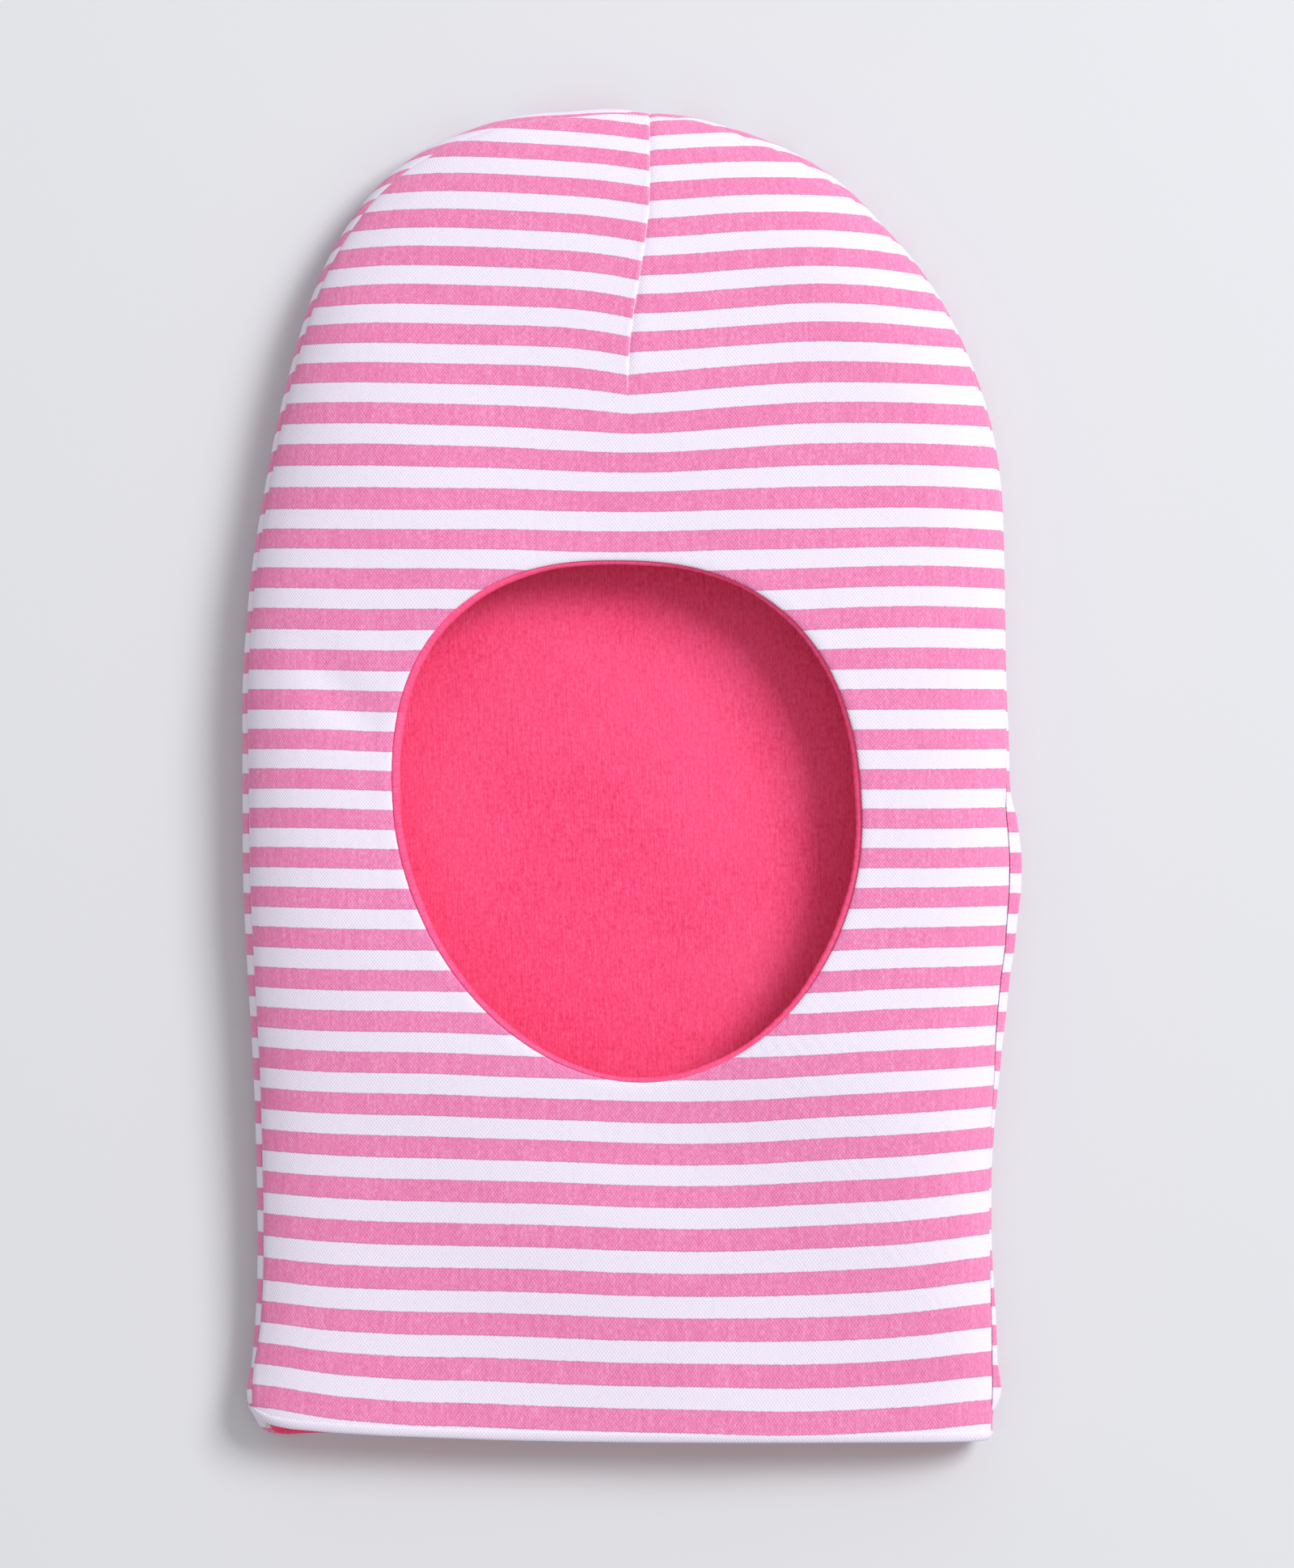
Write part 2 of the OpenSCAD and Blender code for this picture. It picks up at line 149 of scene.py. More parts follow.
hem_rise_back = smooth_line([
    (-96, 8.6), (-92.8, 7.4), (-91.7, 5.8), (-89.8, 3.8), (-87.9, 2.4), (-85.7, 1.6), (-82.5, 1.5), (-78, 1.7),
    (-70, 1.9), (-58.8, 1.5), (-33, 0.8), (0, 0.4), (96, 0.3)], 2)


def settle(x, y, z):
    """Where a point of the even shape ends up as the hood lies: every layer moves by the same rule."""
    high = np.clip(z / head_top, 0, 1)
    turn = np.degrees(np.arctan2(np.maximum(y - crown_y, 0), x))
    out = np.where(y > crown_y, crown_out(turn), np.where(x > 0, right_out(y), left_out(y)))
    out = out * np.clip(spread(x, y), 0, 1.05) ** 3
    nx = x + out * np.where(y > crown_y, np.cos(np.radians(turn)), np.sign(x))
    ny = y + out * np.where(y > crown_y, np.sin(np.radians(turn)), 0)
    nx = nx + dart_line(y) * np.exp(-(x / 26) ** 2)
    level = ease((z - 3.5) / 2.5)
    rise = hem_rise_back(x) * (1 - level) + hem_rise_front(x) * level
    ny = ny + rise * ease((-126 - y) / 36) + 0.15 * ease((-120 - y) / 40)
    lifted = ease((-44 - x) / 48) ** 1.3 * ease((-128 - y) / 34)
    pressed = ease((x - 70) / 24) * ease((-140 - y) / 22)
    crease, beside = (x + 70) * 0.8 + (y - 21) * 0.6, (x + 70) * 0.6 - (y - 21) * 0.8
    wave = (
        0.55 * np.sin(x / 19 + 0.6) * np.sin(y / 27 + 1.1)
        + 0.35 * np.sin((x + 0.7 * y) / 13 + 2.0)
        + 0.25 * np.sin((x - 1.3 * y) / 9 + 0.4)
        - 1.1 * np.exp(-(crease / 5.5) ** 2 - (beside / 15) ** 2)
        - 0.8 * np.exp(-((y + 92) / 15) ** 2) * np.exp(-((x - 8) / 60) ** 2)
    )
    nz = z + wave * high ** 1.5 + 2.0 * lifted * high - 0.9 * pressed * high
    return nx, ny, nz


face_half, face_rise, face_drop, face_lean = 56.8, 58.4, 68.5, 3.5
face_y = half_len - 168.5


def face_point(a, grow=0.0):
    """The edge of the face hole in one direction from its middle."""
    up = np.sin(a) > 0
    n = np.where(up, 2.4, 1.95)
    b = np.where(up, face_rise, face_drop) + grow
    r = (np.abs(np.cos(a) / (face_half + grow)) ** n + np.abs(np.sin(a) / b) ** n) ** (-1 / n)
    y = r * np.sin(a)
    return r * np.cos(a) - face_lean * y / face_drop, face_y + y


def side_columns(fine=1):
    """Stations up the left side, round the crown and down the right: kind is -1, 0 or 1, and where is a
    height on the sides and an angle on the crown. They are closest together at the crown dart."""
    rows = 84 // fine
    ys = hem_y + (crown_y - hem_y) * (np.arange(rows) / rows) ** 1.25
    steps = [0, 0.1, 0.25, 0.5, 0.9, 1.5, 2.3, 3.4, 4.8, 6.4] + [8 + 1.64 * i for i in range(51)]
    steps = np.array(steps[::fine])
    steps[-1] = 90
    a = np.radians(np.concatenate([90 + steps[::-1], 90 - steps[1:]]))
    kind = np.concatenate([np.full(rows, -1), np.zeros(len(a)), np.full(rows, 1)])
    return kind, np.concatenate([ys, a, ys[::-1]])


def side_point(kind, where, u, d=0.0):
    """Plan position of each station at spread u, d in from the outline."""
    body_x = kind * half_width(where, d) * u
    c, s = np.cos(where), np.sin(where)
    crown_x = (head_half - d) * np.sign(c) * np.abs(c) ** (2 / crown_power) * u
    up = (half_len - crown_y - d) * np.abs(s) ** (2 / crown_power) * u
    return np.where(kind == 0, crown_x, body_x), np.where(kind == 0, crown_y + up, where)


left_roll = smooth_line([
    (-163, 1.0), (-158, 1.15), (-155, 0.9), (-150, 0.35), (-143, 0.8), (-135, 1.2), (-120, 1.4), (-80, 1.5),
    (-30, 1.7), (0, 1.55), (10, 1.3), (60, 1.3), (120, 1.2), (150, 1.5), (163, 1.1)], 3)
right_roll = smooth_line([
    (-163, 0.2), (-60, 0.3), (60, 0.35), (120, 0.4), (140, 0.7), (146, 1.1), (158, 1.1), (161, 0.6),
    (163, 0.3)], 4)


def seam_inset(kind, where):
    """How far the side seam has rolled up over the edge, in from the outline."""
    y = np.where(kind == 0, crown_y + (half_len - crown_y) * np.sin(where), where)
    side = ease((np.where(kind == 0, np.cos(where), kind) + 0.12) / 0.24)
    return left_roll(y) * (1 - side) + right_roll(y) * side


# Where the stripes ride off their plain course in the cloth as it lies, in tenths of a millimetre: one
# line of numbers for each height, from the left side to the right. sag_fine has millimetres, for each
# millimetre of the cloth.
sag_x = [-89, -75, -60, -45, -25, -8, 3, 12, 30, 45, 62, 76, 84]
sag = {
    150: [12, 12, 12, 12, 3, 0, -4, -8, -4, -2, -2, -2, -2],
    133: [11, 11, 14, 11, 5, 1, -5, -9, 0, 2, -3, -15, -15],
    114: [-2, -2, 5, 6, 4, 0, -7, -13, -7, 1, -2, -13, -15],
    96: [-9, -6, -2, -1, -1, 2, -3, -7, -8, -4, -3, -8, -11],
    77: [0, 0, 4, 2, 3, 4, 2, 1, 0, 4, 4, 0, -3],
    57: [4, 4, 3, 1, 6, 4, 2, 1, 4, 5, 6, 6, 4],
    38: [-2, -5, -10, -6, -5, -5, -5, -5, -5, -4, -3, -1, -2],
    9: [5, 0, -10, -8, -7, -5, -5, -4, -2, -1, 0, 2, 0],
    -20: [2, 1, 0, 1, 1, 2, 2, 3, 4, 4, 5, -1, -2],
    -50: [-3, -1, 2, 0, -1, -1, -1, -2, -2, -3, 1, -1, -1],
    -81: [2, 0, 1, 6, 5, -1, -8, -11, -10, -6, -3, 2, 6],
    -102: [5, 0, 0, 7, 8, 3, -1, -5, -11, -10, -6, 2, 7],
    -123: [7, -3, 0, 5, 6, 6, 3, -3, -12, -12, -8, -2, 6],
    -146: [-3, -10, 3, 9, 11, 13, 9, 3, -4, -6, -6, -2, 7],
    -158: [-7, -11, 5, 11, 13, 15, 10, 5, -1, -4, -5, -2, 7],
}
sag_left, sag_low = -100, -175
sag_fine = [np.interp(np.arange(sag_left, 101), sag_x, np.array(sag[key]) / 10) for key in sorted(sag)]
sag_fine = np.array(sag_fine)
sag_fine = np.array([np.interp(np.arange(sag_low, 181), sorted(sag), column) for column in sag_fine.T])
for turn in range(2):
    sag_fine = np.array([smoothed(row, 6) for row in sag_fine.T])
stripe_y = [175, 157.3, 150.2, 141.7, 123.6, 105.1, 86.2, 67.1, 47.7, 28.5, 9.3, -10.2, -30.0, -50.3, -70.8,
            -91.4, -112.5, -134.8, -157.8, -175]
stripe_n = [-1.3, 1, 2, 3, 5, 7, 9, 11, 13, 15, 17, 19, 21, 23, 25, 27, 29, 31, 33, 34.5]
stripe_number = smooth_line(list(zip(stripe_y, stripe_n)), 10)


def stripe_at(x, y, right=None):
    """Which stripe a place on the front lies in: whole numbers are the middles of pink stripes."""
    off = x - dart_line(y)
    right = off > 0 if right is None else right
    above = ease((y - 78) / 22)
    vee = 3.5 * ease((y - 40) / 50) * (1 - np.exp(-np.abs(off) / 24)) * above
    bowl = 2.1 * (1 - np.exp(-(x / 34) ** 2))
    bowl = bowl * (0.5 * ease((70 - y) / 30) + ease((y - 60) / 25) * (1 - above)) * ease((y - 10) / 40)
    step = 1.2 * right * ease((y - 96) / 10) * np.exp(-np.maximum(off, 0) / 45)
    neck = 2.9 * ease((10 - y) / 90) * (np.abs(x + 4) / 88) ** 1.3
    neck = neck * (1 - 0.45 * ease((-110 - y) / 45) * ease(x / 40))
    curl = 4.6 * ease((-44 - x) / 46) ** 1.2 * ease((-118 - y) / 40)
    shoulder = -2.4 * ease((y - 105) / 50) * (np.abs(x) / 70) ** 3
    wander = 0.22 * np.sin(x / 23 + y / 31) + 0.14 * np.sin(x / 9 - y / 17)
    v = y - (vee + bowl + step + neck + curl + shoulder) + wander
    gx = np.clip(x - sag_left, 0, sag_fine.shape[0] - 1.1)
    gy = np.clip(v - sag_low, 0, sag_fine.shape[1] - 1.1)
    i, j = gx.astype(int), gy.astype(int)
    fx, fy = gx - i, gy - j
    low = sag_fine[i, j] * (1 - fx) + sag_fine[i + 1, j] * fx
    high = sag_fine[i, j + 1] * (1 - fx) + sag_fine[i + 1, j + 1] * fx
    return stripe_number(v - (low * (1 - fy) + high * fy))


def normals_of(p, wrap):
    """Unit normals of a grid of points, rows along axis 0."""
    dr = np.gradient(p, axis=0)
    dc = (np.roll(p, -1, axis=1) - np.roll(p, 1, axis=1)) / 2 if wrap else np.gradient(p, axis=1)
    n = np.cross(dr, dc)
    return n / np.maximum(np.linalg.norm(n, axis=-1, keepdims=True), 1e-9)


# One unit of the cloth map is 200 mm across and, going along, 40 stripe repeats or 400 mm of plain
# cloth. The edges map is 1 on the dart and on the side seam, and fades to 0 over 10 mm.
map_wide, map_stripes, map_long, edge_fade, dart_foot_stripe = 200, 40, 400, 10, 8.3


def in_scene(name, data):
    obj = bpy.data.objects.new(name, data)
    bpy.context.scene.collection.objects.link(obj)
    return obj


def cloth_object(name, place, faces, maps, weld=False, outward=True, smooth=True):
    """A piece of cloth from points in millimetres, faces, and maps with a pair for every face corner."""
    mesh = bpy.data.meshes.new(name)
    mesh.from_pydata((place.reshape(-1, 3) * 0.001).tolist(), [], faces)
    for key, pairs in maps.items():
        mesh.uv_layers.new(name=key).data.foreach_set("uv", pairs.ravel())
    mesh.uv_layers["cloth"].active = True
    bm = bmesh.new()
    bm.from_mesh(mesh)
    if weld:
        bmesh.ops.remove_doubles(bm, verts=bm.verts, dist=2e-6)
        bmesh.ops.dissolve_degenerate(bm, edges=bm.edges, dist=1e-7)
    if outward:
        bmesh.ops.recalc_face_normals(bm, faces=bm.faces)
    bm.to_mesh(mesh)
    bm.free()
    for p in mesh.polygons:
        p.use_smooth = smooth
    return in_scene(name, mesh)


def slab_object(name, top, low, u, v, holed, beside=None, seam=None):
    """A panel with two faces and closed edges, from two grids of points. A holed panel is a ring; the other
    kind runs in to the spine, where its two halves are welded. beside is the distance from the dart, with v
    then a pair for the faces left and right of it, and seam the distance from the side seam."""
    rows, cols = top.shape[:2]
    count, spans, last = rows * cols, cols if holed else cols - 1, (rows - 1) * cols

    def wall(p, q):
        return np.stack([p, count + p, count + q, q], -1)

    r, c = np.meshgrid(np.arange(rows - 1), np.arange(spans), indexing="ij")
    c2 = (c + 1) % cols
    a, b, e, f = r * cols + c, (r + 1) * cols + c, (r + 1) * cols + c2, r * cols + c2
    quads = [np.stack([a, b, e, f], -1).reshape(-1, 4), np.stack([f, e, b, a], -1).reshape(-1, 4) + count]
    c, c2 = c[0], c2[0]
    if holed:
        quads += [wall(last + c, last + c2), wall(c2, c)]
        quads = np.concatenate(quads)[:, ::-1]
    else:
        k = np.arange(rows - 1) * cols
        quads += [wall(c2, c), wall(k, k + cols), wall(k + 2 * cols - 1, k + cols - 1)]
        quads = np.concatenate(quads)
    corner = quads.ravel() % count

    def at(grid):
        return grid.ravel()[corner]

    if beside is None:
        maps = {"cloth": np.stack([at(u), at(v)], -1)}
    else:
        right = np.repeat(beside.ravel()[quads % count].mean(axis=1) > 0, 4)
        on_dart = ~right * (at(v[0]) * map_stripes < dart_foot_stripe)
        near_dart = np.clip(1 - np.abs(at(beside)) / edge_fade, 0, 1) * on_dart
        near_seam = np.clip(1 - at(seam) / edge_fade, 0, 1)
        maps = {"cloth": np.stack([at(u), np.where(right, at(v[1]), at(v[0]))], -1),
                "edges": np.stack([near_dart, near_seam], -1)}
    return cloth_object(name, np.stack([top, low]), quads.tolist(), maps, weld=not holed, outward=not holed)


class Finish:
    """A material, with short calls for adding nodes and sums to it."""

    def __init__(self, name, sheen, sheen_tint, roughness):
        self.mat = bpy.data.materials.new(name)
        self.mat.use_nodes = True
        self.tree = self.mat.node_tree
        self.shader = self.tree.nodes["Principled BSDF"]
        for socket, value in (("Roughness", roughness), ("Specular IOR Level", 0.18), ("Sheen Weight", sheen),
                              ("Sheen Roughness", 0.55), ("Sheen Tint", sheen_tint)):
            self.put(self.shader, socket, value)

    def add(self, kind, **values):
        node = self.tree.nodes.new(kind)
        for key, value in values.items():
            setattr(node, key, value)
        return node

    def put(self, node, socket, value):
        if isinstance(value, bpy.types.NodeSocket):
            self.tree.links.new(value, node.inputs[socket])
        else:
            node.inputs[socket].default_value = value

    def sum(self, kind, a, b=None, clamp=False):
        node = self.add("ShaderNodeMath", operation=kind, use_clamp=clamp)
        self.put(node, 0, a)
        if b is not None:
            self.put(node, 1, b)
        return node.outputs[0]

    def plus(self, a, b, clamp=False):
        return self.sum("ADD", a, b, clamp)

    def less(self, a, b, clamp=False):
        return self.sum("SUBTRACT", a, b, clamp)

    def times(self, a, b, clamp=False):
        return self.sum("MULTIPLY", a, b, clamp)

    def mix(self, share, a, b):
        node = self.add("ShaderNodeMix", data_type="RGBA")
        for socket, value in ((0, share), (6, a), (7, b)):
            self.put(node, socket, value)
        return node.outputs[2]

    def flat(self, x, y):
        node = self.add("ShaderNodeCombineXYZ")
        self.put(node, 0, x)
        self.put(node, 1, y)
        return node.outputs[0]

    def noise(self, vector, scale, detail=2.0, rough=0.5):
        node = self.add("ShaderNodeTexNoise", noise_dimensions="3D")
        for socket, value in (("Vector", vector), ("Scale", scale), ("Detail", detail), ("Roughness", rough)):
            self.put(node, socket, value)
        return node.outputs[0]

    def patchy(self, x, y, detail, rough=0.5):
        """Soft noise, one patch to a unit of x and of y."""
        return self.noise(self.flat(x, y), 1.0, detail, rough)

    def map_of(self, name):
        """Both parts of one of the piece's maps."""
        part = self.add("ShaderNodeSeparateXYZ")
        self.put(part, 0, self.add("ShaderNodeUVMap", uv_map=name).outputs[0])
        return part.outputs[0], part.outputs[1]

    def done(self, colour, height, bump, depth=0.0003):
        """Joins colour and relief to the shader and returns the material."""
        self.put(self.shader, "Base Color", colour)
        bend = self.add("ShaderNodeBump")
        for socket, value in (("Strength", bump), ("Distance", depth), ("Height", height)):
            self.put(bend, socket, value)
        self.put(self.shader, "Normal", bend.outputs[0])
        return self.mat


def knit_relief(k, wales, courses, fuzz):
    """Loops of a fine knit: small round heads in rows, each row shifted half a loop from the last."""
    drift = k.times(k.less(k.noise(k.flat(wales, courses), 0.4), 0.5), 0.8)
    sway = k.times(k.less(k.noise(k.flat(courses, wales), 0.5), 0.5), 0.7)
    turn = k.times(k.plus(wales, drift), 2 * math.pi)
    climb = k.times(k.plus(courses, sway), 2 * math.pi)
    heads = k.times(k.sum("COSINE", turn), k.sum("COSINE", climb))
    uneven = k.plus(0.15, k.times(k.noise(k.flat(wales, courses), 0.6), 0.75))
    loop = k.plus(0.5, k.times(heads, uneven), clamp=True)
    rib = k.sum("ABSOLUTE", k.sum("SINE", k.times(k.plus(wales, k.times(drift, 0.5)), math.pi)))
    hair = k.noise(k.flat(wales, courses), 1.6, 3.0, 0.7)
    both = k.plus(k.times(loop, 0.50), k.times(rib, 0.06))
    return k.plus(both, k.times(hair, fuzz)), loop, rib


def striped_knit(name, pink, white, pink_deep, pink_pale, bump=0.42, edged=False):
    """Stripes knitted in, ten courses to a repeat; edged adds a painted highlight along the folded edges at
    the dart and the side seam.
    """
    k = Finish(name, 0.22, (1.0, 0.93, 0.97, 1), 0.86)
    across, along = k.map_of("cloth")
    wales = k.times(across, map_wide / 0.80)
    repeat = k.times(along, map_stripes)
    courses = k.times(repeat, 10.0)
    ragged = k.times(k.less(k.noise(k.flat(wales, courses), 0.9, 1.0), 0.5), 0.035)
    tooth = k.times(k.sum("ABSOLUTE", k.sum("SINE", k.times(wales, math.pi))), 0.010)
    place = k.plus(k.plus(repeat, ragged), tooth)
    from_middle = k.less(place, k.sum("ROUND", place))
    off = k.sum("ABSOLUTE", from_middle)
    is_pink = k.times(k.less(0.262, off), 60.0, clamp=True)
    edge = k.less(1.0, k.times(k.sum("ABSOLUTE", k.less(off, 0.248)), 36.0), clamp=True)
    relief, loop, _ = knit_relief(k, wales, courses, 0.22)
    slub = k.patchy(k.times(wales, 0.55), k.times(courses, 0.13), 3.0, 0.6)
    speck = k.patchy(k.times(wales, 1.15), k.times(courses, 0.9), 2.0, 0.75)
    cloud = k.patchy(k.times(wales, 0.03), k.times(courses, 0.03), 2.0)
    heather = k.plus(k.times(slub, 0.36), k.times(speck, 0.64))
    deep = k.times(k.less(0.50, heather), 6.5, clamp=True)
    pale = k.times(k.less(heather, 0.51), 6.5, clamp=True)
    pink_dye_and_loop_shade = k.mix(deep, k.mix(k.times(pale, 0.8), pink, pink_pale), pink_deep)
    pink_dye_and_loop_shade = k.mix(k.times(k.less(cloud, 0.45), 1.2, clamp=True), pink_dye_and_loop_shade, pink_deep)
    # Loop heads are painted paler and the gaps between the loops darker, in pink and white alike (shaded is a
    # darker copy of the white): painted highlight and painted shade on the knit's relief.
    pink_dye_and_loop_shade = k.mix(k.times(k.less(loop, 0.5), 0.9, clamp=True), pink_dye_and_loop_shade, pink_pale)
    pink_dye_and_loop_shade = k.mix(k.times(k.less(1.0, loop), 0.40), pink_dye_and_loop_shade, pink_deep)
    shaded = (white[0] * 0.76, white[1] * 0.77, white[2] * 0.84, 1)
    plain = k.mix(k.times(k.less(1.0, loop), 0.75), white, shaded)
    plain = k.mix(k.times(deep, 0.26), plain, (0.60, 0.60, 0.70, 1))
    colour = k.mix(is_pink, plain, pink_dye_and_loop_shade)
    under = k.plus(k.times(from_middle, 8.0), 0.5, clamp=True)
    line = k.times(edge, k.plus(0.24, k.times(under, 0.30)))
    colour = k.mix(line, colour, (0.44, 0.16, 0.34, 1))
    if edged:
        # A pale line right on the folded edge of the dart and the side seam: painted highlight where the fold
        # catches the light.
        near_dart, near_seam = k.map_of("edges")
        fold = k.times(k.less(near_dart, 0.975), 70.0, clamp=True)
        turned = k.times(k.less(near_seam, 0.972), 60.0, clamp=True)
        painted_fold_highlight = k.sum("MAXIMUM", k.times(fold, 0.55), k.times(turned, 0.5))
        colour = k.mix(k.times(painted_fold_highlight, k.plus(0.35, speck)), colour, (0.97, 0.86, 0.93, 1))
    return k.done(colour, relief, bump)


def front_grid(dz, d, fine, seam_roll, rim_steps, edge_steps, middle):
    """Even-shape points of a front layer, from the face hole (row 0) to its outline, and how far each is
    from the hole and from the side seam. Rows are closest at both edges, columns at the dart."""
    kind, where = side_columns(fine)
    inset = seam_inset(kind, where) if seam_roll else np.zeros(len(kind))
    reach = np.where(kind == 0, head_half, half_width(where)) - d
    sx, sy = side_point(kind, where, 1 - inset / reach, d)
    hems = 96 // fine
    t = np.arange(1, hems) / hems
    t = t - 0.035 * np.sin(4 * math.pi * t) / 1.6
    hem_row = np.full(hems - 1, hem_y)
    px, py = np.concatenate([sx, sx[-1] + (sx[0] - sx[-1]) * t]), np.concatenate([sy, hem_row])
    full_x, full_y = side_point(kind, where, 1.0)
    aim_x = np.concatenate([full_x, full_x[-1] + (full_x[0] - full_x[-1]) * t])
    qx, qy = face_point(np.arctan2(np.concatenate([full_y, hem_row]) - face_y, aim_x))
    long = np.hypot(px - qx, py - qy)
    first = np.array(rim_steps)[:, None] * np.ones(len(px))
    last = long - np.array(edge_steps)[::-1][:, None] * np.ones(len(px))
    share = (np.arange(1, middle) / middle)[:, None]
    away = np.concatenate([first, first[-1] + (last[0] - first[-1]) * share, last]) / long
    gx, gy = qx + (px - qx) * away, qy + (py - qy) * away
    middle_x = gx[:, np.argmin(np.where(kind == 0, np.abs(where - math.pi / 2), 9))][:, None]
    gx = gx - middle_x * np.exp(-((gx - middle_x) / 14) ** 2) * ease((gy - 62) / 25)
    gz = front_z(gx, gy, dz, d)
    if not seam_roll:
        gz[-1, : len(kind)] = seam_z
    from_seam = (1 - away) * long
    from_seam[:, len(kind):] = 99.0  # the neck edge has no seam
    return gx, gy, gz, away * long, from_seam


gx, gy, gz, from_rim, from_seam = front_grid(
    0.0, 0.0, 1, True,
    rim_steps=[0, 0.18, 0.4, 0.7, 1.1, 1.7, 2.6, 3.8],
    edge_steps=[0, 0.16, 0.34, 0.56, 0.85, 1.25, 1.8, 2.6, 3.7, 5.2, 7.2],
    middle=36,
)
laid = points(*settle(gx, gy, gz))
sx, sy = laid[..., 0], laid[..., 1]
out = normals_of(laid, True)
out *= np.sign(out[4, 10, 2])
dip = -0.28 * np.exp(-from_seam / 0.34) + 0.10 * np.exp(-((from_seam - 1.8) / 1.2) ** 2)
left_lip = 0.22 * np.exp(-((gx + 0.75) / 0.7) ** 2) - 0.42 * np.exp(gx / 0.16)
ridge = np.where(gx > 0, -0.50 * np.exp(-gx / 0.5), left_lip)
dip += dart_fade(gy) * (ridge + 0.10 * np.exp(-((np.abs(gx) - 3.0) / 1.6) ** 2))
dip += -0.42 * np.exp(-from_rim / 0.38) + 0.10 * np.exp(-((from_rim - 2.6) / 1.6) ** 2)
dip += 0.05 * np.sin(gx * 1.7 + np.sin(gy * 0.9)) * np.sin(gy * 1.3)
side_drop = (front_top(gy) - gz) * 0.8 * np.sign(gx)
outer_front = slab_object(
    "front_panel_striped", laid + out * dip[..., None], laid - out * outer_cloth,
    u=0.5 + (sx + side_drop) / map_wide,
    v=(stripe_at(sx, sy, False) / map_stripes, stripe_at(sx, sy, True) / map_stripes),
    holed=True, beside=gx, seam=from_seam,
)
stripe_dyes = dict(
    pink=(0.80, 0.226, 0.448, 1),
    white=(0.875, 0.81, 0.92, 1),
    pink_deep=(0.68, 0.145, 0.340, 1),
    pink_pale=(0.93, 0.42, 0.64, 1),
)
outer_front.data.materials.append(striped_knit("outer_knit_front", **stripe_dyes, edged=True))
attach(outer_front, "root")
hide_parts("outer_front_panel")

# ---------------------------------------------------------------- outer back panel
# The striped back of the hood, one cut piece with a dart of its own at the crown. It lies on the
# surface and turns up round the edge to the seam, so a narrow strip of it, with its stripes a little
# lower than the front's, shows from above outside the seam.
kind, where = side_columns(1)
inset = seam_inset(kind, where)
reach = np.where(kind == 0, head_half, half_width(where))
lift = np.arccos(np.clip((1 - inset / reach) ** 4, 0, 1))
# How far the back cloth loops out past the seam on the right, by height, in millimetres.
bulge = smooth_line([
    (-163, 0), (-156, 0), (-154.8, 0.6), (-153.2, 1.5), (-151, 2.1), (-147.5, 1.75), (-144, 1.1), (-135, 0.9),
    (-127, 0.6), (-116, 0.1), (-98, 0.1), (-90, 0.25), (-80, 0.5), (-72, 1.0), (-67, 1.3), (-57, 1.8),
    (-50, 1.75), (-40, 1.9), (-28, 2.4), (-20, 2.5), (-15, 2.3), (-9, 2.1), (-5, 0.9), (0, 0.3), (10, 0.0),
    (60, 0)], 1.2)
swell = np.where(kind == 1, bulge(where), 0)
rows = []
for share in [1, 0.985, 0.96, 0.92, 0.86, 0.78, 0.68, 0.56, 0.42, 0.28, 0.14]:
    angle = lift * share
    bx, by = side_point(kind, where, np.cos(angle) ** 0.25)
    rise = front_top(by) - seam_z
    rows.append((bx + swell * (1 - share ** 3), by, seam_z + rise * np.sin(angle),
                 rise * (np.sin(lift) - np.sin(angle))))
for angle in np.radians([0, 7, 15, 24, 34, 45, 56, 67, 79, 90]):
    bx, by = side_point(kind, where, flat_share + (1 - flat_share) * math.cos(angle))
    under = seam_z * math.sin(angle)
    rows.append((bx + swell * math.cos(angle) ** 0.7, by, np.full(len(kind), seam_z * (1 - math.sin(angle))),
                 (front_top(by) - seam_z) * np.sin(lift) + under))
for u in flat_share * (1 - np.arange(1, 25) / 24):
    bx, by = side_point(kind, where, u)
    rows.append((bx, by, np.zeros(len(kind)), (front_top(by) - seam_z) * np.sin(lift) + seam_z))
gx, gy, gz, from_seam = np.array(rows).transpose(1, 0, 2)
laid = points(*settle(gx, gy, gz))
sx, sy = laid[..., 0], laid[..., 1]
out = normals_of(laid, False)
out *= np.sign(-out[-2:-1, 40:41, 2:3])
out[-3:] = [0, 0, -1]
dip = -0.28 * np.exp(-from_seam / 0.34) * (1 - 0.8 * np.clip(swell / 0.6, 0, 1))
crown_dart = dart_fade(gy) * np.exp(-np.abs(gx) / 0.42)
dip -= 0.5 * crown_dart * (gz > 0.01)
top = laid + out * dip[..., None]
top[..., 2] = np.where(gz < 0.01, 0.45 * crown_dart, np.maximum(top[..., 2], 0.0))
round_edge = from_seam * np.where(kind == 0, np.abs(np.cos(where)), 1.0)
over_crown = from_seam * np.where(kind == 0, np.sin(where), 0.0) * 0.8
# How far the back's stripes lie below the front's along the edge, by height, on the left and the right.
lower_left = smooth_line([
    (-163, 6), (-135, 6), (-125, 5.4), (-110, 4.4), (-95, 4.0), (-80, 3.3), (-65, 2.5), (-50, 2.1), (-20, 1.5),
    (0, 1.3), (10, 1.0), (30, 0.8), (50, 0.6), (70, 1.0), (90, 1.5), (110, 1.8), (128, 2.6), (150, 6.2),
    (163, 8.2)], 8)
lower_right = smooth_line([
    (-163, -9), (-146, -9), (-136, -7), (-127, -4.7), (-120, -2.0), (-110, -1.2), (-100, -0.8), (-90, -0.2),
    (-80, 0.6), (-70, 1.4), (-60, 1.6), (-50, 1.6), (-40, 2.0), (-30, 1.8), (-20, 1.4), (-10, 1.0), (5, 0.4),
    (70, 0.3), (90, 0.7), (163, 0.7)], 8)
on_right = ease(sx / 80 + 0.5)
lower = lower_left(sy) * (1 - on_right) + lower_right(sy) * on_right
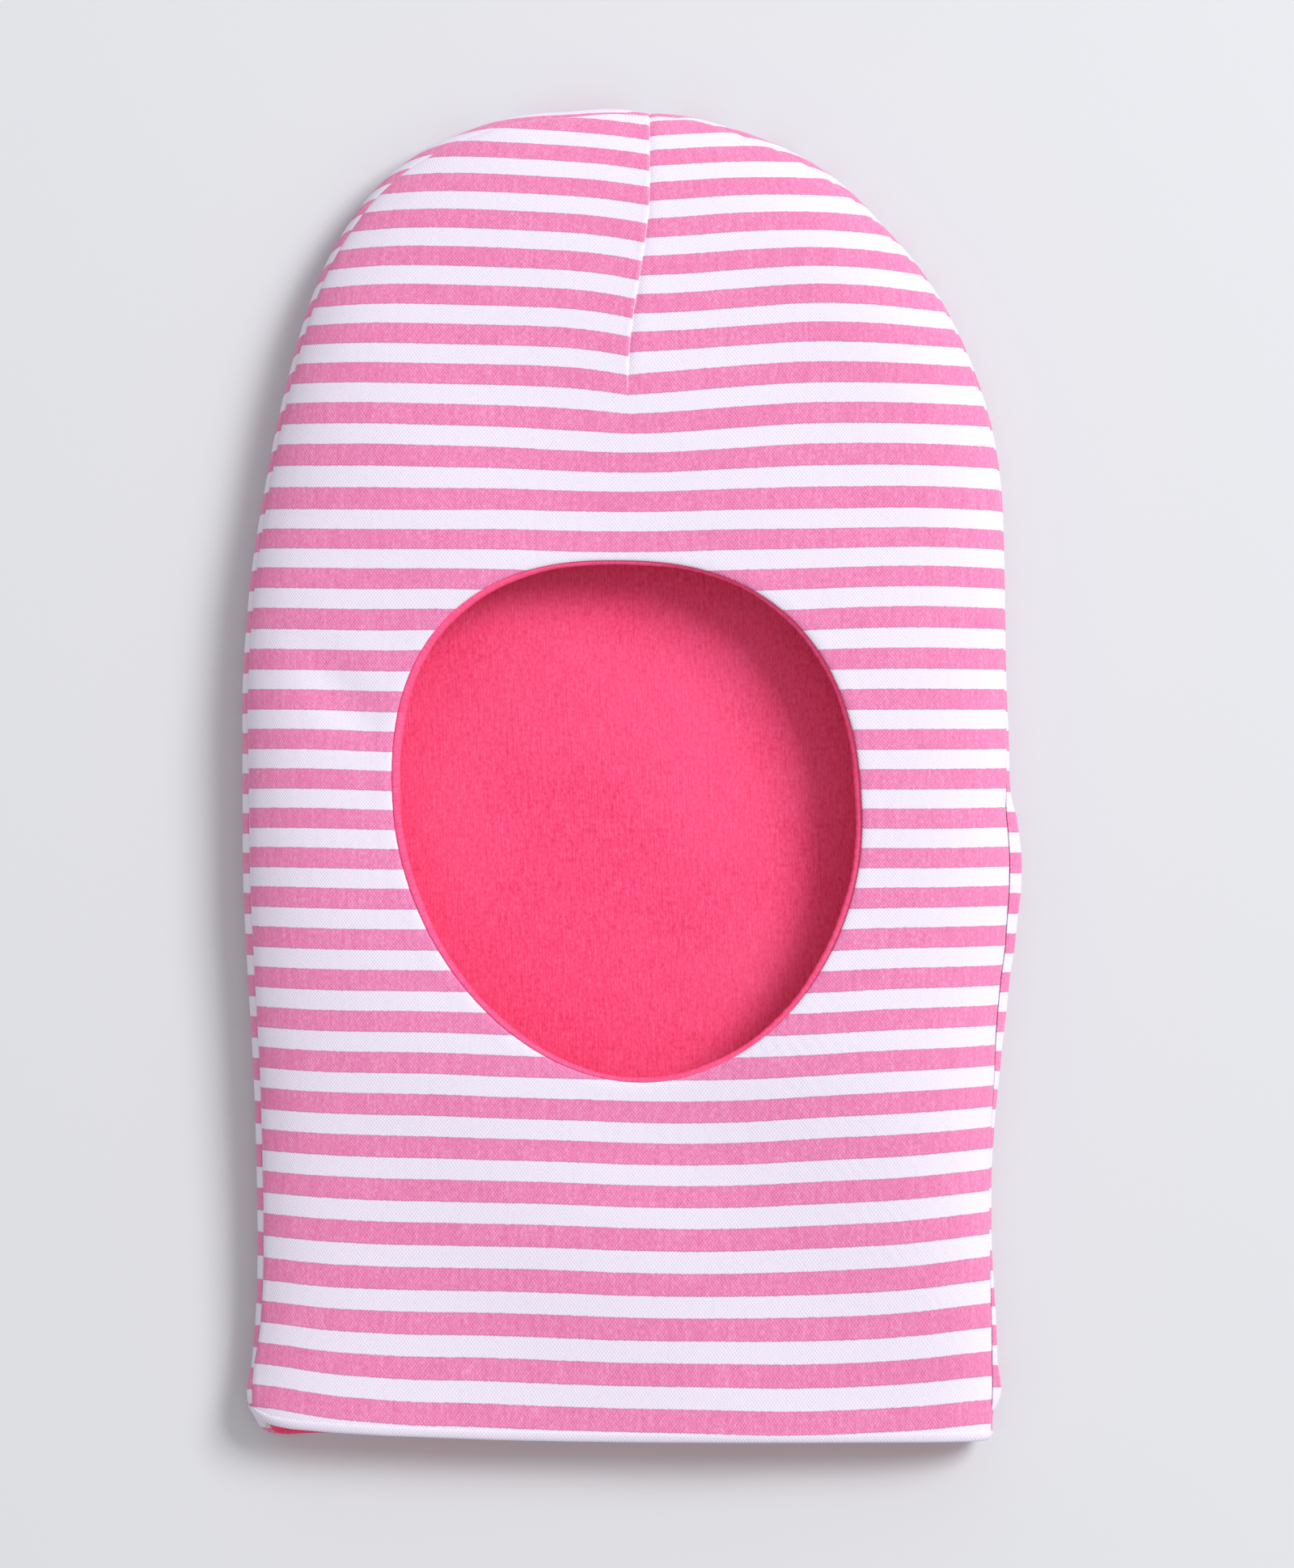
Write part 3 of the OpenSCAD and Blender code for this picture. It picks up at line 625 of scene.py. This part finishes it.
outer_back = slab_object(
    "back_panel_striped", top, laid - out * outer_cloth,
    u=0.5 + (sx + np.sign(gx) * round_edge) / map_wide,
    v=stripe_at(np.clip(sx, -86, 84), np.clip(sy + lower + over_crown, -174, 178), sx > 0) / map_stripes,
    holed=False,
)
outer_knit = striped_knit("outer_knit", **stripe_dyes)
outer_back.data.materials.append(outer_knit)
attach(outer_back, "root")
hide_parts("outer_back_panel")

# ---------------------------------------------------------------- lining panels
# A second, slightly smaller bag of plain hot-pink knit, cut to the same pattern, right side inwards.
# Its back is what is seen through the face hole; its front hangs under the striped front. The two
# are sewn at sides and crown, and to the outer only at the face hole and the neck hem.


def plain_knit(name, colour, deep, pale, bump, wale=0.75):
    """Plain cloth: wale is the width of a column of loops in millimetres, and a course is 0.95 high."""
    k = Finish(name, 0.08, (1.0, 0.45, 0.55, 1), 0.86)
    x, y = k.map_of("cloth")
    across, along = k.times(x, map_wide), k.times(y, map_long)
    wales = k.plus(k.sum("DIVIDE", across, wale), k.times(along, 0.05))
    courses = k.sum("DIVIDE", along, 0.95)
    relief, _, rib = knit_relief(k, wales, courses, 0.4)
    streak = k.patchy(k.times(wales, 0.9), k.times(courses, 0.2), 3.0, 0.6)
    speck = k.patchy(k.times(wales, 1.1), k.times(courses, 0.8), 2.0, 0.7)
    cloud = k.patchy(k.times(wales, 0.02), k.times(courses, 0.02), 2.0)
    tone = k.plus(k.times(streak, 0.4), k.times(speck, 0.6))
    dark = k.times(k.less(0.5, tone), 7.0, clamp=True)
    light = k.times(k.less(tone, 0.51), 6.5, clamp=True)
    shade = k.mix(dark, k.mix(k.times(light, 0.7), colour, pale), deep)
    # Darker where the rib is low, between the columns of loops: painted shade in the knit's grooves.
    shade = k.mix(k.times(k.less(1.0, rib), 0.35), shade, deep)
    shade = k.mix(k.times(k.less(cloud, 0.42), 0.9, clamp=True), shade, pale)
    return k.done(shade, relief, bump)


lining_knit = plain_knit(
    "lining_knit",
    colour=(0.95, 0.074, 0.205, 1),
    deep=(0.78, 0.036, 0.125, 1),
    pale=(0.98, 0.155, 0.330, 1),
    bump=0.32,
)
lining_in, lining_cloth, lining_floor = 5.35, 0.8, 2.6
gx, gy, gz, from_rim, from_seam = front_grid(
    2.6, lining_in, 2, False,
    rim_steps=[0, 0.5, 1.2, 2.4, 4.0],
    edge_steps=[0, 0.1, 0.3, 0.7, 1.3, 2.2, 3.6, 5.6, 8.0],
    middle=18,
)
top = points(*settle(gx, gy, gz))
out = normals_of(top, True)
out *= np.sign(out[4, 10, 2])
low = top - out * lining_cloth
low[..., 2] -= 0.3 * ease(from_rim / 15) * ease(from_seam / 15) * (0.5 + 0.5 * np.sin(gx / 11 + gy / 19))
lining_front = slab_object(
    "front_lining_pink", top, low, u=0.5 + top[..., 0] / map_wide, v=0.5 + top[..., 1] / map_long, holed=True)
lining_front.data.materials.append(lining_knit)
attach(lining_front, "root")
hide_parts("lining_front_panel")

kind, where = side_columns(1)
rows = []
for angle in np.radians([0, 5, 11, 18, 26, 35, 45, 56, 67, 79, 90]):
    bx, by = side_point(kind, where, flat_share + (1 - flat_share) * math.cos(angle), lining_in)
    rows.append((bx, by, np.full(len(kind), seam_z - (seam_z - lining_floor) * math.sin(angle))))
for u in flat_share * (1 - np.arange(1, 49) / 48):
    bx, by = side_point(kind, where, u, lining_in)
    rows.append((bx, by, np.full(len(kind), lining_floor)))
gx, gy, gz = np.array(rows).transpose(1, 0, 2)
down = points(*settle(gx, gy, gz))
out = normals_of(down, False)
out *= np.sign(-out[-8:-7, 40:41, 2:3])
out[-3:] = [0, 0, -1]
inside = ease((0.93 - spread(gx, gy)) / 0.2)
ripple = (
    0.34 * np.sin(gx / 17 + 0.8 * np.sin(gy / 21) + 1.0) * np.sin(gy / 25 + 0.5)
    + 0.20 * np.sin((gx + gy) / 12 + 1.7)
    + 0.12 * np.sin((gx - 0.6 * gy) / 6.5)
    + 0.42
) * inside
up = down - out * lining_cloth
up[..., 2] += ripple
down[..., 2] += np.maximum(ripple, 0) * 0.7
lining_back = slab_object(
    "back_lining_pink", down, up,
    u=0.5 + down[..., 0] / map_wide, v=0.5 + down[..., 1] / map_long, holed=False)
lining_back.data.materials.append(lining_knit)
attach(lining_back, "root")
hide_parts("lining_back_panel")

# ---------------------------------------------------------------- rolled rim of the face hole
# Outer and lining are sewn together round the hole and turned out, and the lining rolls a couple of
# millimetres past the stripes, so it stands as a soft bead all the way round. It is fuller on the
# left, where the cloth has rolled further, and thinner on the right and along the bottom.
count = 840
a = 2 * math.pi * np.arange(count) / count
scallop = 0.5 + 0.5 * np.cos(120 * a + 1.5 * np.sin(3 * a))
scallop = scallop * (0.35 + 0.65 * ease(np.cos(a - 0.2) + 0.4))
ex, ey = face_point(a, 0.12 + 0.10 * scallop)
cx, cy = face_point(a, -6.0)
length = np.hypot(cx - ex, cy - ey)
ix, iy = (cx - ex) / length, (cy - ey) / length
turns = np.radians([0, 45, 90, 135, 180, 225, 270, 315, 360])
width = smoothed(np.interp(a, turns, [1.75, 1.05, 1.0, 2.05, 1.95, 1.5, 1.0, 1.75, 1.75]), 60, "wrap")
width += 0.08 * np.sin(9 * a + 1) + 0.05 * np.sin(23 * a)
sunk = 0.12 + 0.85 * ease(0.55 + 0.8 * np.cos(a - 0.5))  # below the striped face, most on the upper right
deep = 3.7 - sunk
ring = 17
t = math.pi * np.arange(ring)[:, None] / (ring - 1)
out_by = np.sin(t) ** 0.75
down_by = 0.5 - 0.5 * np.sign(np.cos(t)) * np.abs(np.cos(t)) ** 0.75
rolled = points(*settle(
    ex + ix * width * out_by, ey + iy * width * out_by,
    front_z(ex, ey) - sunk - deep * down_by - 0.10 * np.sin(7 * a) * out_by))
around = np.cumsum(np.hypot(np.diff(ex, append=ex[:1]), np.diff(ey, append=ey[:1])))


def tube_faces(rows, cols):
    """Faces of a grid of points that closes on itself both ways."""
    j, i = np.meshgrid(np.arange(rows), np.arange(cols), indexing="ij")
    j2, i2 = (j + 1) % rows, (i + 1) % cols
    return np.stack([j * cols + i, j * cols + i2, j2 * cols + i2, j2 * cols + i], -1).reshape(-1, 4)


faces = tube_faces(ring, count)
first, long, tall = faces[:, :1], 0.435, 0.35  # a face's first corner, and its size in the cloth map
rim_u = (around[first % count] + [0, long, long, 0]) / map_wide
rim_v = (first // count * tall + [0, 0, tall, tall]) / map_long
rim = cloth_object("face_rim_roll", rolled, faces.tolist(), {"cloth": np.stack([rim_u, rim_v], -1)})
# The rim is rolled lining cloth, but it takes a lighter copy of the lining's colours: painted light for the
# lit side of the roll, given all round.
rim_knit_painted_lighter = plain_knit(
    "rim_knit_painted_lighter",
    colour=(0.97, 0.10, 0.26, 1),
    deep=(0.88, 0.06, 0.19, 1),
    pale=(0.98, 0.18, 0.37, 1),
    wale=0.62,
    bump=0.3,
)
rim.data.materials.append(rim_knit_painted_lighter)
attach(rim, "root")
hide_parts("face_opening_rim")

# ---------------------------------------------------------------- folded neck edge
# At the neck the striped cloth and the lining are sewn together inside out and turned, which leaves a
# soft folded edge right round the tube: striped outside and under the fold, pink from the seam inwards.
# At the lifted corner the pink shows.


def hem_piece(name, shares, depths):
    """A closed fold right round the neck end. Each station of its section is a share of the way from the
    outer skin to the lining's inner skin, and a depth past the panels' cut edge, in millimetres."""
    n = 150
    t = np.concatenate([np.linspace(-1, 1, n + 1)[:-1], np.linspace(1, -1, n + 1)[:-1]])
    front, y = np.arange(2 * n) < n, np.full(2 * n, hem_y)
    skins = []
    for dz, d in ((0.05, 0.05), (3.3, 6.1)):
        x = half_width(y, d) * np.sign(t) * np.abs(t) ** 0.7
        skins.append(np.stack([x, np.where(front, front_z(x, y, dz, d), back_z(x, y, dz, d))]))
    x, z = skins[0][:, None] + (skins[1] - skins[0])[:, None] * np.array(shares)[:, None]
    laid = points(*settle(x, y - np.array(depths)[:, None], z))
    faces = tube_faces(len(shares), 2 * n)
    pairs = [0.5 + laid[..., 0] / map_wide, stripe_at(laid[..., 0], laid[..., 1]) / map_stripes]
    pairs = np.stack(pairs, -1).reshape(-1, 2)
    return cloth_object(name, laid, faces.tolist(), {"cloth": pairs[faces.ravel()]})


hem = hem_piece(
    "neck_fold_striped",
    shares=[0.03, -0.04, -0.035, 0.0, 0.05, 0.13, 0.25, 0.38, 0.50, 0.56, 0.57, 0.5, 0.3, 0.1],
    depths=[-1.3, -0.6, 0.0, 0.5, 0.95, 1.35, 1.55, 1.55, 1.35, 1.0, 0.3, -0.05, -0.05, -0.05],
)
hem.data.materials.append(outer_knit)
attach(hem, "root")
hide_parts("neck_hem_fold")

hem_lining = hem_piece(
    "neck_fold_lining",
    shares=[0.58, 0.58, 0.63, 0.72, 0.83, 0.93, 1.0, 1.0, 0.8],
    depths=[-0.05, 1.0, 1.35, 1.50, 1.40, 1.0, 0.4, -0.05, -0.05],
)
hem_lining.data.materials.append(lining_knit)
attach(hem_lining, "root")
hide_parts("neck_hem_fold")

# ---------------------------------------------------------------- seam allowances and dart folds
# The raw edges turned inside every seam: flat double strips of knit that lie between the outer bag
# and the lining, and the folded intake of each crown dart, pressed to one side. The wrong side of the
# striped cloth shows its stripes faintly. They are sewn down along the seams that they belong to.
wrong_side = striped_knit(
    "outer_knit_wrong_side",
    pink=(0.80, 0.36, 0.54, 1),
    white=(0.83, 0.74, 0.84, 1),
    pink_deep=(0.70, 0.25, 0.43, 1),
    pink_pale=(0.90, 0.52, 0.68, 1),
    bump=0.4,
)


def strip(name, stations, material, node, slot_name, loop=False):
    """A flat strip of cloth through four-cornered stations, given in the hood's even shape."""
    m, k = stations.shape[:2]
    laid = points(*settle(*np.moveaxis(stations, -1, 0)))
    faces = tube_faces(m, k)[: m * k if loop else (m - 1) * k].tolist()
    if not loop:
        faces += [list(range(k)), list(range(m * k - 1, (m - 1) * k - 1, -1))]
    x, y = laid[..., 0], laid[..., 1]
    v = stripe_at(x, y) / map_stripes if slot_name != "lining_knit" else 0.5 + y / map_long
    pairs = np.stack([0.5 + x / map_wide, v], -1).reshape(-1, 2)
    obj = cloth_object(name, laid, faces, {"cloth": pairs[np.concatenate(faces)]}, smooth=False)
    obj.data.materials.append(material)
    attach(obj, "root")
    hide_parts(node)


kind, where = side_columns(2)


def seam_line(d, h):
    """A line along the side and crown seam, d in from the outline and h above the seam."""
    return points(*side_point(kind, where, 1.0, d), seam_z + h)


def seam_stations(corners):
    return np.stack([seam_line(d, h) for d, h in corners], 1)


strip("seam_allowance_outer", seam_stations([(1.2, 0.02), (2.7, 1.3), (4.05, 1.3), (4.05, 0.02)]),
      wrong_side, "outer_side_allowance", "striped_knit_wrong_side")
strip("seam_allowance_lining", seam_stations([(2.45, -0.05), (5.25, -0.05), (4.9, -1.3), (2.45, -1.3)]),
      lining_knit, "lining_side_allowance", "lining_knit")


def hole_stations(g0, g1, z0, z1, n=160):
    """Stations round the face hole, between two distances out from its edge."""
    a = 2 * math.pi * np.arange(n) / n
    near, far = face_point(a, g0), face_point(a, g1)
    corners = ((near, z0), (near, z1), (far, z1), (far, z0))
    return np.stack([points(*at, front_z(*at, dz, outer_cloth)) for at, dz in corners], 1)


strip("hole_allowance", hole_stations(0.15, 4.5, 1.38, 2.3), wrong_side,
      "face_opening_allowance", "striped_knit_wrong_side", loop=True)


def hem_stations(y0, y1, wide, front):
    """Stations across the neck end, between two heights."""
    x = np.linspace(-wide, wide, 60)
    corners = ((y0, 1.4), (y0, 2.25), (y1, 2.25), (y1, 1.4))
    return np.stack([
        points(x, y, front_z(x, y, dz, outer_cloth) if front else dz - 0.15) for y, dz in corners], 1)


strip("hem_allowance_front", hem_stations(hem_y + 0.2, hem_y + 7, 68, True), wrong_side,
      "neck_hem_allowance_front", "striped_knit_wrong_side")
strip("hem_allowance_back", hem_stations(hem_y + 0.2, hem_y + 7, 73, False), wrong_side,
      "neck_hem_allowance_back", "striped_knit_wrong_side")


dart_low, dart_high = half_len - 67, half_len - 14


def dart_stations(side, front):
    """The folded intake of one crown dart, wider towards the crown; side is the way it is pressed."""
    y = np.linspace(dart_low, dart_high, 26)
    near, far = np.full(26, side * 0.5), side * (0.5 + (0.6 + 7.4 * np.arange(26) / 25))
    corners = ((near, 1.42), (near, 2.3), (far, 2.3), (far, 1.42))
    return np.stack([
        points(x, y, front_z(x, y, dz, outer_cloth) if front else back_z(x, y, dz - 0.15, outer_cloth))
        for x, dz in corners], 1)


strip("dart_fold_front_outer", dart_stations(-1, True), wrong_side,
      "outer_front_dart_fold", "striped_knit_wrong_side")
strip("dart_fold_back_outer", dart_stations(-1, False), wrong_side,
      "outer_back_dart_fold", "striped_knit_wrong_side")
strip("dart_fold_front_lining", dart_stations(1, True), lining_knit, "lining_front_dart_fold", "lining_knit")
strip("dart_fold_back_lining", dart_stations(1, False), lining_knit, "lining_back_dart_fold", "lining_knit")

# ---------------------------------------------------------------- sewing threads
# Spun polyester thread: overlock loops over the raw edge of every allowance, a plain row of stitches
# down each dart, and one pale hand stitch that tacks the hem's left corner. White thread sews the
# striped cloth and pink thread the lining.


def thread_material(name, colour, dark):
    k = Finish(name, 0.3, (1, 1, 1, 1), 0.6)
    spot = k.add("ShaderNodeTexCoord").outputs["Object"]
    twist = k.add("ShaderNodeTexWave", wave_type="BANDS", bands_direction="DIAGONAL")
    for socket, value in (("Vector", spot), ("Scale", 1400.0), ("Distortion", 1.5)):
        k.put(twist, socket, value)
    # The thread darkens along the low bands of its twist: partly random tone from the noise, partly painted
    # shade in the twist's grooves.
    tone = k.times(k.plus(twist.outputs[1], k.noise(spot, 2600.0)), 0.5)
    return k.done(k.mix(tone, dark, colour), twist.outputs[1], 0.5, 0.00008)


white_thread = thread_material("white_thread", (0.88, 0.87, 0.90, 1), (0.62, 0.60, 0.66, 1))
pink_thread = thread_material("pink_thread", (0.90, 0.16, 0.32, 1), (0.62, 0.06, 0.16, 1))
cream_thread = thread_material("cream_thread", (0.90, 0.74, 0.55, 1), (0.66, 0.48, 0.30, 1))


def stitch_tree(name, looped):
    """Stitches along a line: rings of thread round an edge, or dashes that lie along it."""
    tree = bpy.data.node_groups.new(name, "GeometryNodeTree")
    for label, kind in (("Line", "Geometry"), ("Pitch", "Float"), ("Thread", "Float"), ("Across", "Float"),
                        ("Tall", "Float"), ("Yarn", "Material")):
        tree.interface.new_socket(label, in_out="INPUT", socket_type="NodeSocket" + kind)
    tree.interface.new_socket("Stitches", in_out="OUTPUT", socket_type="NodeSocketGeometry")

    def step(kind, inputs, **settings):
        node = tree.nodes.new(kind)
        for key, value in settings.items():
            setattr(node, key, value)
        for socket, value in inputs.items():
            if isinstance(value, bpy.types.NodeSocket):
                tree.links.new(value, node.inputs[socket])
            else:
                node.inputs[socket].default_value = value
        return node.outputs

    given = step("NodeGroupInput", {})
    curve = step("GeometryNodeMeshToCurve", {"Mesh": given["Line"]})
    spots = step("GeometryNodeCurveToPoints", {"Curve": curve[0], "Length": given["Pitch"]}, mode="LENGTH")
    section = step("GeometryNodeCurvePrimitiveCircle", {"Resolution": 5, "Radius": given["Thread"]})
    if looped:
        ring = step("GeometryNodeCurvePrimitiveCircle", {"Resolution": 10, "Radius": 1.0})
        size = step("ShaderNodeCombineXYZ", {0: given["Tall"], 1: given["Across"], 2: 1.0})
        way = step("GeometryNodeTransform", {
            "Geometry": ring["Curve"], "Scale": size[0], "Rotation": (0.0, 0.5, 0.0)})
    else:
        ends = {}
        for share, end in ((-0.38, "Start"), (0.38, "End")):
            reach = step("ShaderNodeMath", {0: given["Pitch"], 1: share}, operation="MULTIPLY")
            ends[end] = step("ShaderNodeCombineXYZ", {2: reach[0]})[0]
        way = step("GeometryNodeCurvePrimitiveLine", ends)
    body = step("GeometryNodeCurveToMesh", {
        "Curve": way[0], "Profile Curve": section["Curve"], "Fill Caps": not looped})
    copies = step("GeometryNodeInstanceOnPoints", {
        "Points": spots["Points"], "Rotation": spots["Rotation"], "Instance": body[0]})
    real = step("GeometryNodeRealizeInstances", {0: copies[0]})
    dress = step("GeometryNodeSetMaterial", {"Geometry": real[0], "Material": given["Yarn"]})
    step("NodeGroupOutput", {0: dress[0]})
    return tree


overlock = stitch_tree("overlock_row", True)
running = stitch_tree("running_row", False)


def sew(name, line, tree, yarn, node, pitch, thread, across=0.3, tall=0.6, closed=False):
    """Stitches on a line of points, in millimetres and in the hood's even shape."""
    laid = points(*settle(*line.T)) * 0.001
    edges = [(i, i + 1) for i in range(len(laid) - 1)] + ([(len(laid) - 1, 0)] if closed else [])
    mesh = bpy.data.meshes.new(name + "_line")
    mesh.from_pydata(laid.tolist(), edges, [])
    guide = in_scene(name + "_line", mesh)
    mod = guide.modifiers.new("rows", "NODES")
    mod.node_group = tree
    values = {"Pitch": pitch, "Thread": thread, "Across": across, "Tall": tall}
    for item in tree.interface.items_tree:
        if item.in_out == "INPUT" and item.name in values:
            mod[item.identifier] = values[item.name] * 0.001
        elif item.in_out == "INPUT" and item.name == "Yarn":
            mod[item.identifier] = yarn
    bpy.context.view_layer.update()
    done = bpy.data.meshes.new_from_object(guide.evaluated_get(bpy.context.evaluated_depsgraph_get()))
    done.name = name
    bpy.data.objects.remove(guide)
    for p in done.polygons:
        p.use_smooth = True
    obj = in_scene(name, done)
    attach(obj, "root")
    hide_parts(node)


sew("overlock_outer_seam", seam_line(4.05, 0.62), overlock, white_thread,
    "outer_side_overlock", pitch=2.2, thread=0.12, across=0.42, tall=0.66)
sew("overlock_lining_seam", seam_line(2.4, -0.72), overlock, pink_thread,
    "lining_side_overlock", pitch=2.2, thread=0.12, across=0.42, tall=0.62)
hole = hole_stations(4.5, 4.6, 1.84, 1.84)[:, 0]
sew("overlock_face_hole", hole, overlock, white_thread,
    "face_opening_overlock", pitch=2.2, thread=0.1, across=0.42, tall=0.42, closed=True)
for name, node, front, wide in (
    ("overlock_hem_front", "neck_hem_overlock_front", True, 68),
    ("overlock_hem_back", "neck_hem_overlock_back", False, 73),
):
    row = hem_stations(hem_y + 7, hem_y + 7.1, wide, front)
    sew(name, (row[:, 0] + row[:, 1]) / 2, overlock, white_thread,
        node, pitch=2.2, thread=0.1, across=0.42, tall=0.40)
for name, node, front, yarn, slot_name, dz in (
    ("dart_stitches_front_outer", "outer_front_dart_stitching", True, white_thread, "white_thread", 1.52),
    ("dart_stitches_back_outer", "outer_back_dart_stitching", False, white_thread, "white_thread", 1.52),
    ("dart_stitches_front_lining", "lining_front_dart_stitching", True, pink_thread, "pink_thread", 2.12),
    ("dart_stitches_back_lining", "lining_back_dart_stitching", False, pink_thread, "pink_thread", 2.12),
):
    x, y = np.zeros(40), np.linspace(dart_low, dart_high, 40)
    z = front_z(x, y, dz, outer_cloth) if front else back_z(x, y, dz - 0.2, outer_cloth)
    sew(name, points(x, y, z), running, yarn, node, pitch=2.6, thread=0.16)

t = np.linspace(0, math.pi, 9)
tack = points(-86.4 - 0.9 * np.sin(t), -161.4 - 2.9 * np.sin(t), 8.4 + 1.7 * np.cos(t))
sew("corner_tack", tack, running, cream_thread, "hem_corner_tack", pitch=1.0, thread=0.32)

# ---------------------------------------------------------------- floor, light and camera
# A plain pale sweep under the hood, a big soft light high on the right beyond the crown, and a
# camera looking straight down.
edge, below = 3, -0.0002
mesh = bpy.data.meshes.new("sweep")
corners = ((-edge, -edge), (edge, -edge), (edge, edge), (-edge, edge))
mesh.from_pydata([(x, y, below) for x, y in corners], [], [(0, 1, 2, 3)])
floor = in_scene("sweep", mesh)
k = Finish("paper", 0.0, (1, 1, 1, 1), 0.9)
grain = k.noise(k.add("ShaderNodeTexCoord").outputs["Object"], 900.0)
k.put(k.shader, "Base Color", k.mix(k.times(grain, 0.05), (0.675, 0.688, 0.712, 1), (0.58, 0.585, 0.615, 1)))
floor.data.materials.append(k.mat)

world = bpy.data.worlds.new("studio")
bpy.context.scene.world = world
world.use_nodes = True
world.node_tree.nodes["Background"].inputs[0].default_value = (1.0, 0.975, 0.985, 1)
world.node_tree.nodes["Background"].inputs[1].default_value = 0.585

data = bpy.data.lights.new("key", "AREA")
data.shape = "SQUARE"
data.size = 1.35
data.energy = 96.0
data.color = (0.985, 0.99, 1.0)
lamp = in_scene("key", data)
x, y, z = lamp.location = (2.0, 1.35, 2.3)
lamp.rotation_euler = (math.atan2(math.hypot(x, y), z), 0, math.atan2(y, x) + math.pi / 2)

bpy.context.scene.view_settings.view_transform = "Standard"
bpy.context.scene.view_settings.look = "None"
data = bpy.data.cameras.new("camera")
camera = in_scene("camera", data)
camera.location = (0.0046, -0.0015, 1.75)
data.sensor_width = 36
data.lens = 163.2
data.clip_end = 20
bpy.context.scene.camera = camera
